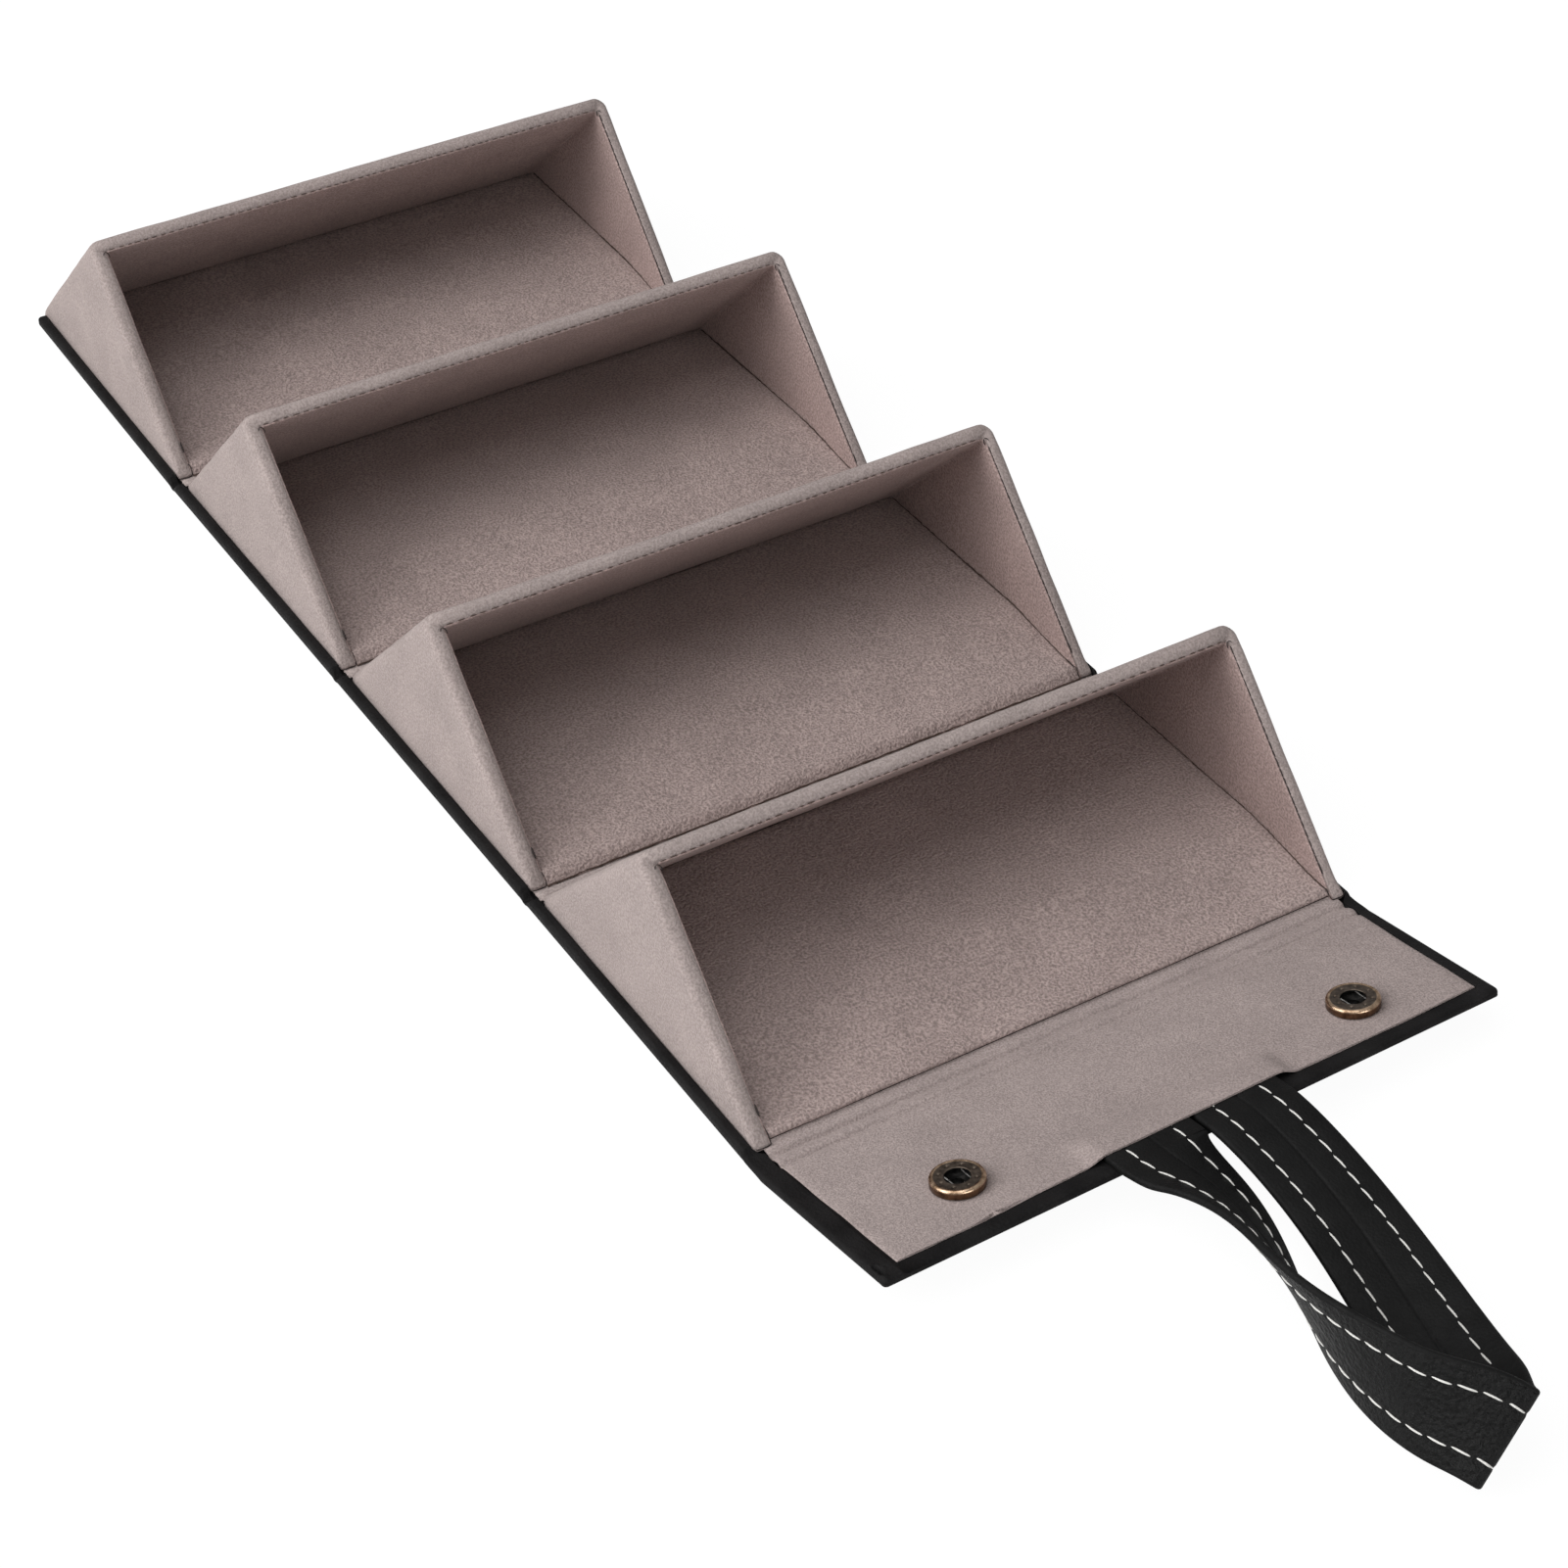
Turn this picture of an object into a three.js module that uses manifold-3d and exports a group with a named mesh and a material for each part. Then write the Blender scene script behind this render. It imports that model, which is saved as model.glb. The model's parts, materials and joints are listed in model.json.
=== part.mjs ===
// A roll-up storage case for sunglasses: four three-cornered velvet trays on one leather strip, a flap with
// two press snaps, and a strap loop. Millimetres, +Z up. The trays run along X and stand side by side along Y,
// with the flap and the strap towards -Y. It lies unrolled on a table, with the origin at the table under the
// middle of its box.
import * as THREE from "three";
import { mergeVertices } from "three/addons/utils/BufferGeometryUtils.js";
import Module from "manifold-3d";

const wasm = await Module();
wasm.setup();

// Trays
const TRAYS = 4;
const TRAY_LENGTH = 180; // over the end walls
const PITCH = 113.4; // from one fold to the next
const WALL = 4.5; // padded back and end walls
const FLOOR_BOARD = 2;
const FLOOR_PAD = 2.3;
const CLOSE_GAP = 0.3; // from a tray to the plane where it meets its neighbour, rolled up

// Cover
const LEATHER = 0.8;
const COVER_BOARD = 1.3;
const LAYER_GAP = 0.2; // glue line between two layers
const COVER_OVERHANG = 2.9; // cover beyond the trays at each end

// Flap
const FLAP_REACH = 51.3; // from its fold to its front edge
const FLAP_REST = 11.5; // degrees that its fold springs it up from the table
const FLAP_BOARD = 1;
const LINING = 0.8;
const BORDER = 4.6; // leather turned over the flap's edge, outside the lining

// Snaps
const SNAP_INSET = 31; // from a tray's end
const SNAP_REACH = 33.5; // from the flap's fold
const SNAP_GAP = 0.3; // between a closed socket and its stud's flange
const SOCKET_RADIUS = 6.9;
const SOCKET_HEIGHT = 2.4;
const SOCKET_MOUTH = 2.9; // radius
const SOCKET_POCKET = 4.9; // radius of the space that holds the spring
const SHEET = 0.4; // brass that the snaps are pressed from
const SHOULDER = 0.6; // round of the socket's outer edge
const SPRING_WIRE = 0.25; // radius
const SPRING_REACH = 2.35; // from the socket's middle to each straight of the spring
const STUD_FLANGE = 5; // radius
const STUD_NECK = 1.9; // radius
const STUD_HEAD = 2.5; // radius
const STUD_TIP = 2; // radius
const STUD_HEIGHT = 2; // from the flange's face to the tip
const HEAD_HEIGHT = 0.75;
const POST = 1.4; // radius of the rivets and cap posts
const POST_GAP = 0.3; // round a post in its holes
const RIVET_HEAD = 4.5; // radius
const CAP_RADIUS = 7.2;
const CAP_RISE = 1.9;

// Strap
const STRAP_WIDTH = 26;
const STRAP_THICK = 2;
const STRAP_MIDDLE = -1.2; // across, where its two ends meet
const STRAP_GAP = 0.3; // round its ends, and between them
const STRAP_TAB = 11.5; // length of each end that is sewn under the lining
// The run of the loop: across from the strap's middle, forward of the flap's edge, height above the table,
// and the degrees that the strap is turned from lying flat.
const STRAP_RUN = [
  [-12.8, 8, 13.2, 15],
  [-8.6, 16, 10.9, 30],
  [-10.8, 35, 12.2, 50],
  [-15.5, 56, 13.4, 66],
  [-17, 77, 15.8, 91],
  [-13.5, 96, 17.4, 110],
  [-8, 105.5, 15.8, 110],
  [-2.6, 109, 13.6, 92],
  [0.2, 107, 12.8, 58],
  [2.2, 99, 11, 42],
  [3.4, 91, 9.4, 32],
  [7, 73, 9, 17],
  [10.5, 55, 10, 5],
  [13, 37, 11.4, 0],
  [14, 18, 13, 0],
];
const STRAP_LEAD = 4.5; // how far it leaves the flap straight
const STRAP_SQUARE = [4.5, 18]; // it lies square to the flap as far as the first, and turns freely from the second
const STRAP_STEPS = 76;
const END_ROUND = [0.5, 0.85]; // where the round of each strap end has its facets, from its start to its tip

// Facets round a turned piece and a wire
const ROUND = 32;
const WIRE_SIDES = 6;
const SPRING_STEPS = 30;
const SPRING_ARC_STEPS = 4;
const DOME_STEPS = 5;

// Heights above a panel's or the flap's fold axis, which lies in the middle of the leather
const SKIN = LEATHER / 2;
const BOARD_LOW = SKIN + LAYER_GAP;
const TRAY_LOW = BOARD_LOW + COVER_BOARD + LAYER_GAP;
const HEM_HIGH = TRAY_LOW + LEATHER;
const PAD_LOW = TRAY_LOW + FLOOR_BOARD + LAYER_GAP;
const FOLD_LINING_HIGH = BOARD_LOW + LINING;
const LINING_LOW = BOARD_LOW + FLAP_BOARD + LAYER_GAP;
const LINING_HIGH = LINING_LOW + LINING;
const SOCKET_LOW = LINING_HIGH + LAYER_GAP;
const SOCKET_HIGH = SOCKET_LOW + SOCKET_HEIGHT;
const STUD_FACE = -SKIN - LAYER_GAP - SHEET;
const STUD_END = STUD_FACE - STUD_HEIGHT;
const STRAP_LEVEL = LINING_LOW + STRAP_THICK / 2;

// Places along a panel, measured back from its front fold
const CORNER = CLOSE_GAP * Math.SQRT2;
const SLANT = Math.SQRT2; // a 45 degree face takes this much of the run per unit of thickness
const FOLD_HALF = HEM_HIGH + CORNER; // half of the bare leather that bends
const COVER_HALF = TRAY_LENGTH / 2 + COVER_OVERHANG;
const INSIDE_HALF = TRAY_LENGTH / 2 - WALL - LAYER_GAP;
const COVER_FRONT = FOLD_HALF + LAYER_GAP;
const COVER_BACK = PITCH - COVER_FRONT;
const FIRST_COVER_BACK = PITCH - FOLD_LINING_HIGH - CLOSE_GAP; // rolled up, it meets the flap's fold
const TRAY_FRONT = TRAY_LOW + CORNER;
const TRAY_BACK = PITCH - TRAY_FRONT;
const STUD_PLACE = PITCH - SNAP_REACH;

// The flap's fold stands off the closing corner by what lies between the closed flap and the first cover
const FLAP_OFFSET = SOCKET_HIGH + SNAP_GAP - STUD_FACE;
const STRAP_BEND = FLAP_REACH + STRAP_THICK / 2 + LAYER_GAP; // the strap's axis, from the flap's fold

// The first tray leans on its studs
const STUD_ARM = STUD_PLACE - STUD_TIP;
const FIRST_TILT = Math.atan2(-STUD_END, STUD_ARM) - Math.asin(SKIN / Math.hypot(STUD_ARM, STUD_END));
const FLAP_TILT = THREE.MathUtils.degToRad(FLAP_REST);

const VELVET = { color: 0xb3a39c, roughness: 0.95, metalness: 0 };
const BLACK_LEATHER = { color: 0x1c1c1d, roughness: 0.6, metalness: 0 };
const GREY_BOARD = { color: 0x8a8378, roughness: 0.9, metalness: 0 };
const BRASS = { color: 0x7a6238, roughness: 0.4, metalness: 1 };
const SPRING_STEEL = { color: 0x9a9a96, roughness: 0.3, metalness: 1 };

// Booleans
function toSolid(geometry) {
  const bare = geometry.clone();
  bare.deleteAttribute("normal");
  bare.deleteAttribute("uv");
  const merged = mergeVertices(bare);
  return new wasm.Manifold(
    new wasm.Mesh({
      numProp: 3,
      vertProperties: new Float32Array(merged.attributes.position.array),
      triVerts: new Uint32Array(merged.index.array),
    }),
  );
}

function toGeometry(solid) {
  const mesh = solid.getMesh();
  const geometry = new THREE.BufferGeometry();
  geometry.setAttribute("position", new THREE.BufferAttribute(mesh.vertProperties, 3));
  geometry.setIndex(new THREE.BufferAttribute(mesh.triVerts, 1));
  geometry.computeVertexNormals();
  return geometry;
}

function join(first, ...others) {
  return toGeometry(others.reduce((solid, other) => solid.add(toSolid(other)), toSolid(first)));
}

function cut(first, ...tools) {
  return toGeometry(tools.reduce((solid, tool) => solid.subtract(toSolid(tool)), toSolid(first)));
}

// Basic forms
function block([x0, x1], [y0, y1], [z0, z1]) {
  const geometry = new THREE.BoxGeometry(x1 - x0, y1 - y0, z1 - z0);
  return geometry.translate((x0 + x1) / 2, (y0 + y1) / 2, (z0 + z1) / 2);
}

function outlineShape(points) {
  return new THREE.Shape(points.map(([a, b]) => new THREE.Vector2(a, b)));
}

// An outline of [y, z] points that runs along X
function runAlongX(points, [x0, x1]) {
  const geometry = new THREE.ExtrudeGeometry(outlineShape(points), { depth: x1 - x0, bevelEnabled: false });
  const y = new THREE.Vector3(0, 1, 0);
  const z = new THREE.Vector3(0, 0, 1);
  const x = new THREE.Vector3(1, 0, 0);
  return geometry.translate(0, 0, x0).applyMatrix4(new THREE.Matrix4().makeBasis(y, z, x));
}

// An outline of [x, z] points that runs along Y
function runAlongY(points, [y0, y1]) {
  const geometry = new THREE.ExtrudeGeometry(outlineShape(points), { depth: y1 - y0, bevelEnabled: false });
  const x = new THREE.Vector3(1, 0, 0);
  const z = new THREE.Vector3(0, 0, 1);
  const y = new THREE.Vector3(0, -1, 0);
  return geometry.translate(0, 0, -y1).applyMatrix4(new THREE.Matrix4().makeBasis(x, z, y));
}

// A profile of [radius, z] points, from its bottom up the outside, turned about Z
function turned(profile) {
  const points = profile.map(([radius, z]) => new THREE.Vector2(radius, z));
  return new THREE.LatheGeometry(points, ROUND).rotateX(Math.PI / 2);
}

function postHole(x, y, [z0, z1]) {
  const radius = POST + POST_GAP;
  const geometry = new THREE.CylinderGeometry(radius, radius, z1 - z0, ROUND);
  return geometry.rotateX(Math.PI / 2).translate(x, y, (z0 + z1) / 2);
}

function addPart(group, name, geometry, finish) {
  const mesh = new THREE.Mesh(geometry, new THREE.MeshStandardMaterial(finish));
  mesh.name = name;
  group.add(mesh);
  return mesh;
}

const SIDES = [
  ["left", -1],
  ["right", 1],
];
const SNAP_PLACES = SIDES.map(([, side]) => side * (TRAY_LENGTH / 2 - SNAP_INSET));

// Cover leather: a sheet with its edge turned up and over the board at both ends, and turned up at the back of
// the first
function coverLeather(first) {
  const hemInside = TRAY_LENGTH / 2 + LAYER_GAP;
  const wallInside = COVER_HALF - LEATHER;
  const section = [
    [-COVER_HALF, -SKIN],
    [COVER_HALF, -SKIN],
    [COVER_HALF, HEM_HIGH],
    [hemInside, HEM_HIGH],
    [hemInside, TRAY_LOW],
    [wallInside, TRAY_LOW],
    [wallInside, SKIN],
    [-wallInside, SKIN],
    [-wallInside, TRAY_LOW],
    [-hemInside, TRAY_LOW],
    [-hemInside, HEM_HIGH],
    [-COVER_HALF, HEM_HIGH],
  ];
  if (!first) return runAlongY(section, [COVER_FRONT, COVER_BACK]);
  const sheet = runAlongY(section, [COVER_FRONT, FIRST_COVER_BACK]);
  const across = [-COVER_HALF, COVER_HALF];
  const wallHigh = TRAY_LOW - LAYER_GAP;
  const wall = block(across, [FIRST_COVER_BACK - LEATHER, FIRST_COVER_BACK], [-SKIN, wallHigh]);
  const holes = SNAP_PLACES.map((x) => postHole(x, STUD_PLACE, [-LEATHER, LEATHER]));
  return cut(join(sheet, wall), ...holes);
}

function coverBoard(first) {
  const half = COVER_HALF - LEATHER - LAYER_GAP;
  const back = first ? FIRST_COVER_BACK - LEATHER - LAYER_GAP : COVER_BACK;
  const high = BOARD_LOW + COVER_BOARD;
  const board = block([-half, half], [COVER_FRONT, back], [BOARD_LOW, high]);
  if (!first) return board;
  const holes = SNAP_PLACES.map((x) => postHole(x, STUD_PLACE, [0, HEM_HIGH]));
  return cut(board, ...holes);
}

// A layer of the floor between two heights: its front lies on the closing plane, its back on the back wall
function floorLayer(low, high) {
  const wallRun = PITCH - CORNER - (WALL + LAYER_GAP) * SLANT;
  const outline = [
    [low + CORNER, low],
    [wallRun - low, low],
    [wallRun - high, high],
    [high + CORNER, high],
  ];
  return runAlongX(outline, [-INSIDE_HALF, INSIDE_HALF]);
}

function trayFloor(first) {
  const board = floorLayer(TRAY_LOW, TRAY_LOW + FLOOR_BOARD);
  if (!first) return board;
  const radius = RIVET_HEAD + POST_GAP;
  const depth = SHEET + LAYER_GAP;
  const pockets = SNAP_PLACES.map((x) => {
    const pocket = new THREE.CylinderGeometry(radius, radius, 2 * depth, ROUND);
    return pocket.rotateX(Math.PI / 2).translate(x, STUD_PLACE, TRAY_LOW);
  });
  return cut(board, ...pockets);
}

function backWall() {
  const apex = PITCH / 2;
  const rim = apex - (WALL * SLANT) / 2;
  const outline = [
    [TRAY_BACK, TRAY_LOW],
    [apex, apex - CORNER],
    [rim, rim - CORNER],
    [TRAY_BACK - WALL * SLANT, TRAY_LOW],
  ];
  return runAlongX(outline, [-INSIDE_HALF, INSIDE_HALF]);
}

function endWall(side) {
  const outline = [
    [TRAY_FRONT, TRAY_LOW],
    [TRAY_BACK, TRAY_LOW],
    [PITCH / 2, PITCH / 2 - CORNER],
  ];
  const outer = (side * TRAY_LENGTH) / 2;
  const inner = outer - side * WALL;
  return runAlongX(outline, [Math.min(inner, outer), Math.max(inner, outer)]);
}

// One tray on its part of the cover, in a group whose origin is its front fold's axis
function makeTray(number) {
  const tray = new THREE.Group();
  const first = number === 1;
  addPart(tray, `cover_leather_${number}`, coverLeather(first), BLACK_LEATHER);
  addPart(tray, `cover_board_${number}`, coverBoard(first), GREY_BOARD);
  addPart(tray, `tray_floor_${number}`, trayFloor(first), GREY_BOARD);
  addPart(tray, `floor_pad_${number}`, floorLayer(PAD_LOW, PAD_LOW + FLOOR_PAD), VELVET);
  addPart(tray, `back_wall_${number}`, backWall(), VELVET);
  for (const [word, side] of SIDES) {
    addPart(tray, `end_wall_${word}_${number}`, endWall(side), VELVET);
  }
  return tray;
}

// Stud under the first cover, hollow for its rivet
function stud() {
  const neckEnd = STUD_END + HEAD_HEIGHT;
  const bore = POST + POST_GAP;
  const boreEnd = STUD_END + SHEET;
  return turned([
    [0, STUD_END],
    [STUD_TIP, STUD_END],
    [STUD_HEAD, STUD_END + HEAD_HEIGHT / 3],
    [STUD_HEAD, neckEnd - HEAD_HEIGHT / 3],
    [STUD_NECK, neckEnd],
    [STUD_NECK, STUD_FACE],
    [STUD_FLANGE, STUD_FACE],
    [STUD_FLANGE, STUD_FACE + SHEET],
    [bore, STUD_FACE + SHEET],
    [bore, boreEnd],
    [0, boreEnd],
  ]);
}

function studRivet() {
  const end = STUD_END + SHEET + LAYER_GAP;
  return turned([
    [0, end],
    [POST, end],
    [POST, TRAY_LOW],
    [RIVET_HEAD, TRAY_LOW],
    [RIVET_HEAD, TRAY_LOW + SHEET],
    [0, TRAY_LOW + SHEET],
  ]);
}

function addStuds(tray) {
  SIDES.forEach(([word], index) => {
    const x = SNAP_PLACES[index];
    addPart(tray, `stud_${word}`, stud(), BRASS).position.set(x, STUD_PLACE, 0);
    addPart(tray, `stud_rivet_${word}`, studRivet(), BRASS).position.set(x, STUD_PLACE, 0);
  });
}

// Bare leather between two trays
function foldStrip() {
  return block([-COVER_HALF, COVER_HALF], [-FOLD_HALF, FOLD_HALF], [-SKIN, SKIN]);
}

// The flap lies along -Y from its fold's axis
const FLAP_FRONT = -FLAP_REACH;
const FLAP_BACK = -LAYER_GAP;
const TAB_HALF = STRAP_WIDTH + STRAP_GAP / 2;
const TAB_BACK = FLAP_FRONT + STRAP_TAB;

function tabNotch() {
  const half = TAB_HALF + STRAP_GAP;
  const across = [STRAP_MIDDLE - half, STRAP_MIDDLE + half];
  const level = LINING_LOW - LAYER_GAP;
  return block(across, [FLAP_FRONT - LEATHER, TAB_BACK + STRAP_GAP], [level, 2 * LINING_HIGH]);
}

function flapLeather() {
  const whole = block([-COVER_HALF, COVER_HALF], [FLAP_FRONT, FLAP_BACK], [-SKIN, LINING_HIGH]);
  const pocketHalf = COVER_HALF - LEATHER;
  const pocket = block([-pocketHalf, pocketHalf], [FLAP_FRONT + LEATHER, LEATHER], [SKIN, LINING_LOW]);
  const windowHalf = COVER_HALF - BORDER;
  const high = 2 * LINING_HIGH;
  const window = block([-windowHalf, windowHalf], [FLAP_FRONT + BORDER, LEATHER], [SKIN, high]);
  const holes = SNAP_PLACES.map((x) => postHole(x, -SNAP_REACH, [-LEATHER, LEATHER]));
  return cut(whole, pocket, window, tabNotch(), ...holes);
}

function flapBoard() {
  const half = COVER_HALF - LEATHER - LAYER_GAP;
  const front = FLAP_FRONT + LEATHER + LAYER_GAP;
  const board = block([-half, half], [front, FLAP_BACK - LAYER_GAP], [BOARD_LOW, BOARD_LOW + FLAP_BOARD]);
  const holes = SNAP_PLACES.map((x) => postHole(x, -SNAP_REACH, [0, LINING_LOW]));
  return cut(board, ...holes);
}

function flapLining() {
  const half = COVER_HALF - BORDER - LAYER_GAP;
  const front = FLAP_FRONT + BORDER + LAYER_GAP;
  const lining = block([-half, half], [front, FLAP_BACK - LAYER_GAP], [LINING_LOW, LINING_HIGH]);
  const holes = SNAP_PLACES.map((x) => postHole(x, -SNAP_REACH, [SKIN, 2 * LINING_HIGH]));
  return cut(lining, tabNotch(), ...holes);
}

// Socket: a pressed ring with a mouth for the stud, a wider pocket for the spring, and a hole for the cap's post
function socket() {
  const bore = POST + POST_GAP;
  const pocketLow = SOCKET_LOW + SHEET;
  const pocketHigh = SOCKET_HIGH - SHEET;
  return turned([
    [bore, SOCKET_LOW],
    [SOCKET_RADIUS, SOCKET_LOW],
    [SOCKET_RADIUS, SOCKET_HIGH - SHOULDER],
    [SOCKET_RADIUS - SHOULDER / 3, SOCKET_HIGH - SHOULDER / 3],
    [SOCKET_RADIUS - SHOULDER, SOCKET_HIGH],
    [SOCKET_MOUTH, SOCKET_HIGH],
    [SOCKET_MOUTH, pocketHigh],
    [SOCKET_POCKET, pocketHigh],
    [SOCKET_POCKET, pocketLow],
    [bore, pocketLow],
    [bore, SOCKET_LOW],
  ]);
}

// Spring: one wire bent round the pocket, whose two straights lie each side of the stud's neck
function socketSpring() {
  const level = SOCKET_HIGH - SHEET - SPRING_WIRE;
  const bend = SOCKET_POCKET - SPRING_WIRE - LAYER_GAP;
  const run = Math.sqrt(bend * bend - SPRING_REACH * SPRING_REACH);
  const start = Math.atan2(run, SPRING_REACH);
  const straight = (side) => [-run, 0].map((y) => new THREE.Vector3(side * SPRING_REACH, y, level));
  const arc = [];
  for (let i = 0; i <= SPRING_ARC_STEPS; i++) {
    const angle = THREE.MathUtils.lerp(start, Math.PI - start, i / SPRING_ARC_STEPS);
    arc.push(new THREE.Vector3(bend * Math.cos(angle), bend * Math.sin(angle), level));
  }
  const path = new THREE.CatmullRomCurve3([...straight(1), ...arc, ...straight(-1).reverse()]);
  const shape = new THREE.Shape();
  for (let i = 0; i < WIRE_SIDES; i++) {
    const angle = (2 * Math.PI * i) / WIRE_SIDES;
    const x = SPRING_WIRE * Math.cos(angle);
    const y = SPRING_WIRE * Math.sin(angle);
    if (i) shape.lineTo(x, y);
    else shape.moveTo(x, y);
  }
  return new THREE.ExtrudeGeometry(shape, { steps: SPRING_STEPS, extrudePath: path });
}

// Cap: a low dome on the flap's outside, with the post that its socket is riveted to
function snapCap() {
  const rim = -SKIN - LAYER_GAP;
  const profile = [];
  for (let i = 0; i <= DOME_STEPS; i++) {
    const angle = (Math.PI / 2) * (i / DOME_STEPS);
    profile.push([CAP_RADIUS * Math.sin(angle), rim - SHEET - CAP_RISE * Math.cos(angle)]);
  }
  const end = SOCKET_LOW + SHEET;
  profile.push([CAP_RADIUS, rim], [POST, rim], [POST, end], [0, end]);
  return turned(profile);
}

function makeFlap() {
  const flap = new THREE.Group();
  addPart(flap, "flap_leather", flapLeather(), BLACK_LEATHER);
  addPart(flap, "flap_board", flapBoard(), GREY_BOARD);
  addPart(flap, "flap_lining", flapLining(), VELVET);
  SIDES.forEach(([word, side], index) => {
    const x = SNAP_PLACES[index];
    addPart(flap, `socket_${word}`, socket(), BRASS).position.set(x, -SNAP_REACH, 0);
    addPart(flap, `socket_spring_${word}`, socketSpring(), SPRING_STEEL).position.set(x, -SNAP_REACH, 0);
    addPart(flap, `snap_cap_${word}`, snapCap(), BRASS).position.set(x, -SNAP_REACH, 0);
    const edges = [STRAP_MIDDLE + (side * STRAP_GAP) / 2, STRAP_MIDDLE + side * TAB_HALF];
    const across = [Math.min(...edges), Math.max(...edges)];
    const tab = block(across, [FLAP_FRONT, TAB_BACK], [LINING_LOW, LINING_LOW + STRAP_THICK]);
    addPart(flap, `strap_tab_${word}`, tab, BLACK_LEATHER);
  });
  return flap;
}

// A four-sided bar through cross sections, each with its middle and its half width and half thickness vectors
function barThrough(sections) {
  const signs = [
    [-1, -1],
    [1, -1],
    [1, 1],
    [-1, 1],
  ];
  const positions = [];
  for (const { middle, width, thickness } of sections) {
    for (const [a, b] of signs) {
      positions.push(...middle.clone().addScaledVector(width, a).addScaledVector(thickness, b).toArray());
    }
  }
  const sides = signs.length;
  const last = (sections.length - 1) * sides;
  const index = [0, 2, 1, 0, 3, 2, last, last + 1, last + 2, last, last + 2, last + 3];
  for (let ring = 0; ring < last; ring += sides) {
    for (let i = 0; i < sides; i++) {
      const a = ring + i;
      const b = ring + ((i + 1) % sides);
      index.push(a, b, b + sides, a, b + sides, a + sides);
    }
  }
  const geometry = new THREE.BufferGeometry();
  geometry.setAttribute("position", new THREE.Float32BufferAttribute(positions, 3));
  geometry.setIndex(index);
  geometry.computeVertexNormals();
  return geometry;
}

// The strap loop, from its left bend at the flap's edge round to its right one. Each end is rounded about the
// bend's axis, so that it swings clear of the flap.
function strapLoop(bend) {
  const lift = new THREE.Vector3(0, 0, 1);
  const outward = new THREE.Vector3(0, -Math.cos(FLAP_TILT), Math.sin(FLAP_TILT));
  const root = (side) => {
    const x = STRAP_MIDDLE + (side * (STRAP_WIDTH + STRAP_GAP)) / 2;
    return new THREE.Vector3(x, bend.y, bend.z);
  };
  const run = STRAP_RUN.map(
    ([across, forward, height]) => new THREE.Vector3(STRAP_MIDDLE + across, bend.y - forward, height),
  );
  const lead = outward.clone().multiplyScalar(STRAP_LEAD);
  const points = [root(-1), root(-1).add(lead), ...run, root(1).add(lead), root(1)];
  const turns = [0, 0, ...STRAP_RUN.map((stop) => stop[3]), 0, 0];
  const path = new THREE.CatmullRomCurve3(points);
  const sections = [];
  for (let i = 0; i <= STRAP_STEPS; i++) {
    const share = i / STRAP_STEPS;
    const stop = share * (turns.length - 1);
    const low = Math.min(Math.floor(stop), turns.length - 2);
    const turn = THREE.MathUtils.degToRad(THREE.MathUtils.lerp(turns[low], turns[low + 1], stop - low));
    const along = path.getTangent(share);
    if (i === 0) along.copy(outward);
    if (i === STRAP_STEPS) along.copy(outward).negate();
    const middle = path.getPoint(share);
    const square = new THREE.Vector3(i < STRAP_STEPS / 2 ? 1 : -1, 0, 0);
    const freed = THREE.MathUtils.smoothstep(bend.y - middle.y, ...STRAP_SQUARE);
    const flat = square.lerp(lift.clone().cross(along).normalize(), freed).normalize();
    const up = along.clone().cross(flat).normalize();
    const width = flat.clone().multiplyScalar(Math.cos(turn)).addScaledVector(up, -Math.sin(turn));
    const thickness = along.clone().cross(width).normalize();
    sections.push({
      middle,
      width: width.multiplyScalar(STRAP_WIDTH / 2),
      thickness: thickness.multiplyScalar(STRAP_THICK / 2),
    });
  }
  const rounded = (section) => {
    const back = outward.clone().negate();
    return END_ROUND.map((share) => ({
      middle: section.middle.clone().addScaledVector(back, (share * STRAP_THICK) / 2),
      width: section.width,
      thickness: section.thickness.clone().multiplyScalar(Math.sqrt(1 - share * share)),
    }));
  };
  const start = rounded(sections[0]).reverse();
  const end = rounded(sections[STRAP_STEPS]);
  return barThrough([...start, ...sections, ...end]);
}

// The strip, with the closing corner of the last tray on Y = 0 and the table on Z = 0
const strip = new THREE.Group();
for (let number = 1; number <= TRAYS; number++) {
  const tray = makeTray(number);
  const frontFold = (TRAYS - number) * PITCH;
  tray.position.set(0, frontFold, SKIN);
  if (number === 1) {
    addStuds(tray);
    tray.rotation.x = FIRST_TILT;
  }
  strip.add(tray);
  if (number < TRAYS) {
    const fold = addPart(strip, `fold_hinge_${number}`, foldStrip(), BLACK_LEATHER);
    fold.position.set(0, frontFold, SKIN);
  }
}

// Leather and lining that bend between the last tray and the flap
const foldBack = FOLD_HALF;
const foldFront = -FLAP_OFFSET + LAYER_GAP;
const hingeLeather = block([-COVER_HALF, COVER_HALF], [foldFront, foldBack], [0, LEATHER]);
addPart(strip, "flap_hinge", hingeLeather, BLACK_LEATHER);
const liningHalf = TRAY_LENGTH / 2;
const liningAcross = [-liningHalf, liningHalf];
const hingeLining = block(liningAcross, [foldFront, foldBack], [SKIN + BOARD_LOW, SKIN + FOLD_LINING_HIGH]);
addPart(strip, "flap_hinge_lining", hingeLining, VELVET);

const flap = makeFlap();
flap.position.set(0, -FLAP_OFFSET, SKIN);
flap.rotation.x = -FLAP_TILT;
strip.add(flap);

flap.updateMatrix();
const strapBend = new THREE.Vector3(0, -STRAP_BEND, STRAP_LEVEL).applyMatrix4(flap.matrix);
addPart(strip, "carry_strap", strapLoop(strapBend), BLACK_LEATHER);

// Origin under the middle of the whole case
const box = new THREE.Box3().setFromObject(strip, true);
strip.position.set(-(box.min.x + box.max.x) / 2, -(box.min.y + box.max.y) / 2, -box.min.z);

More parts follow.
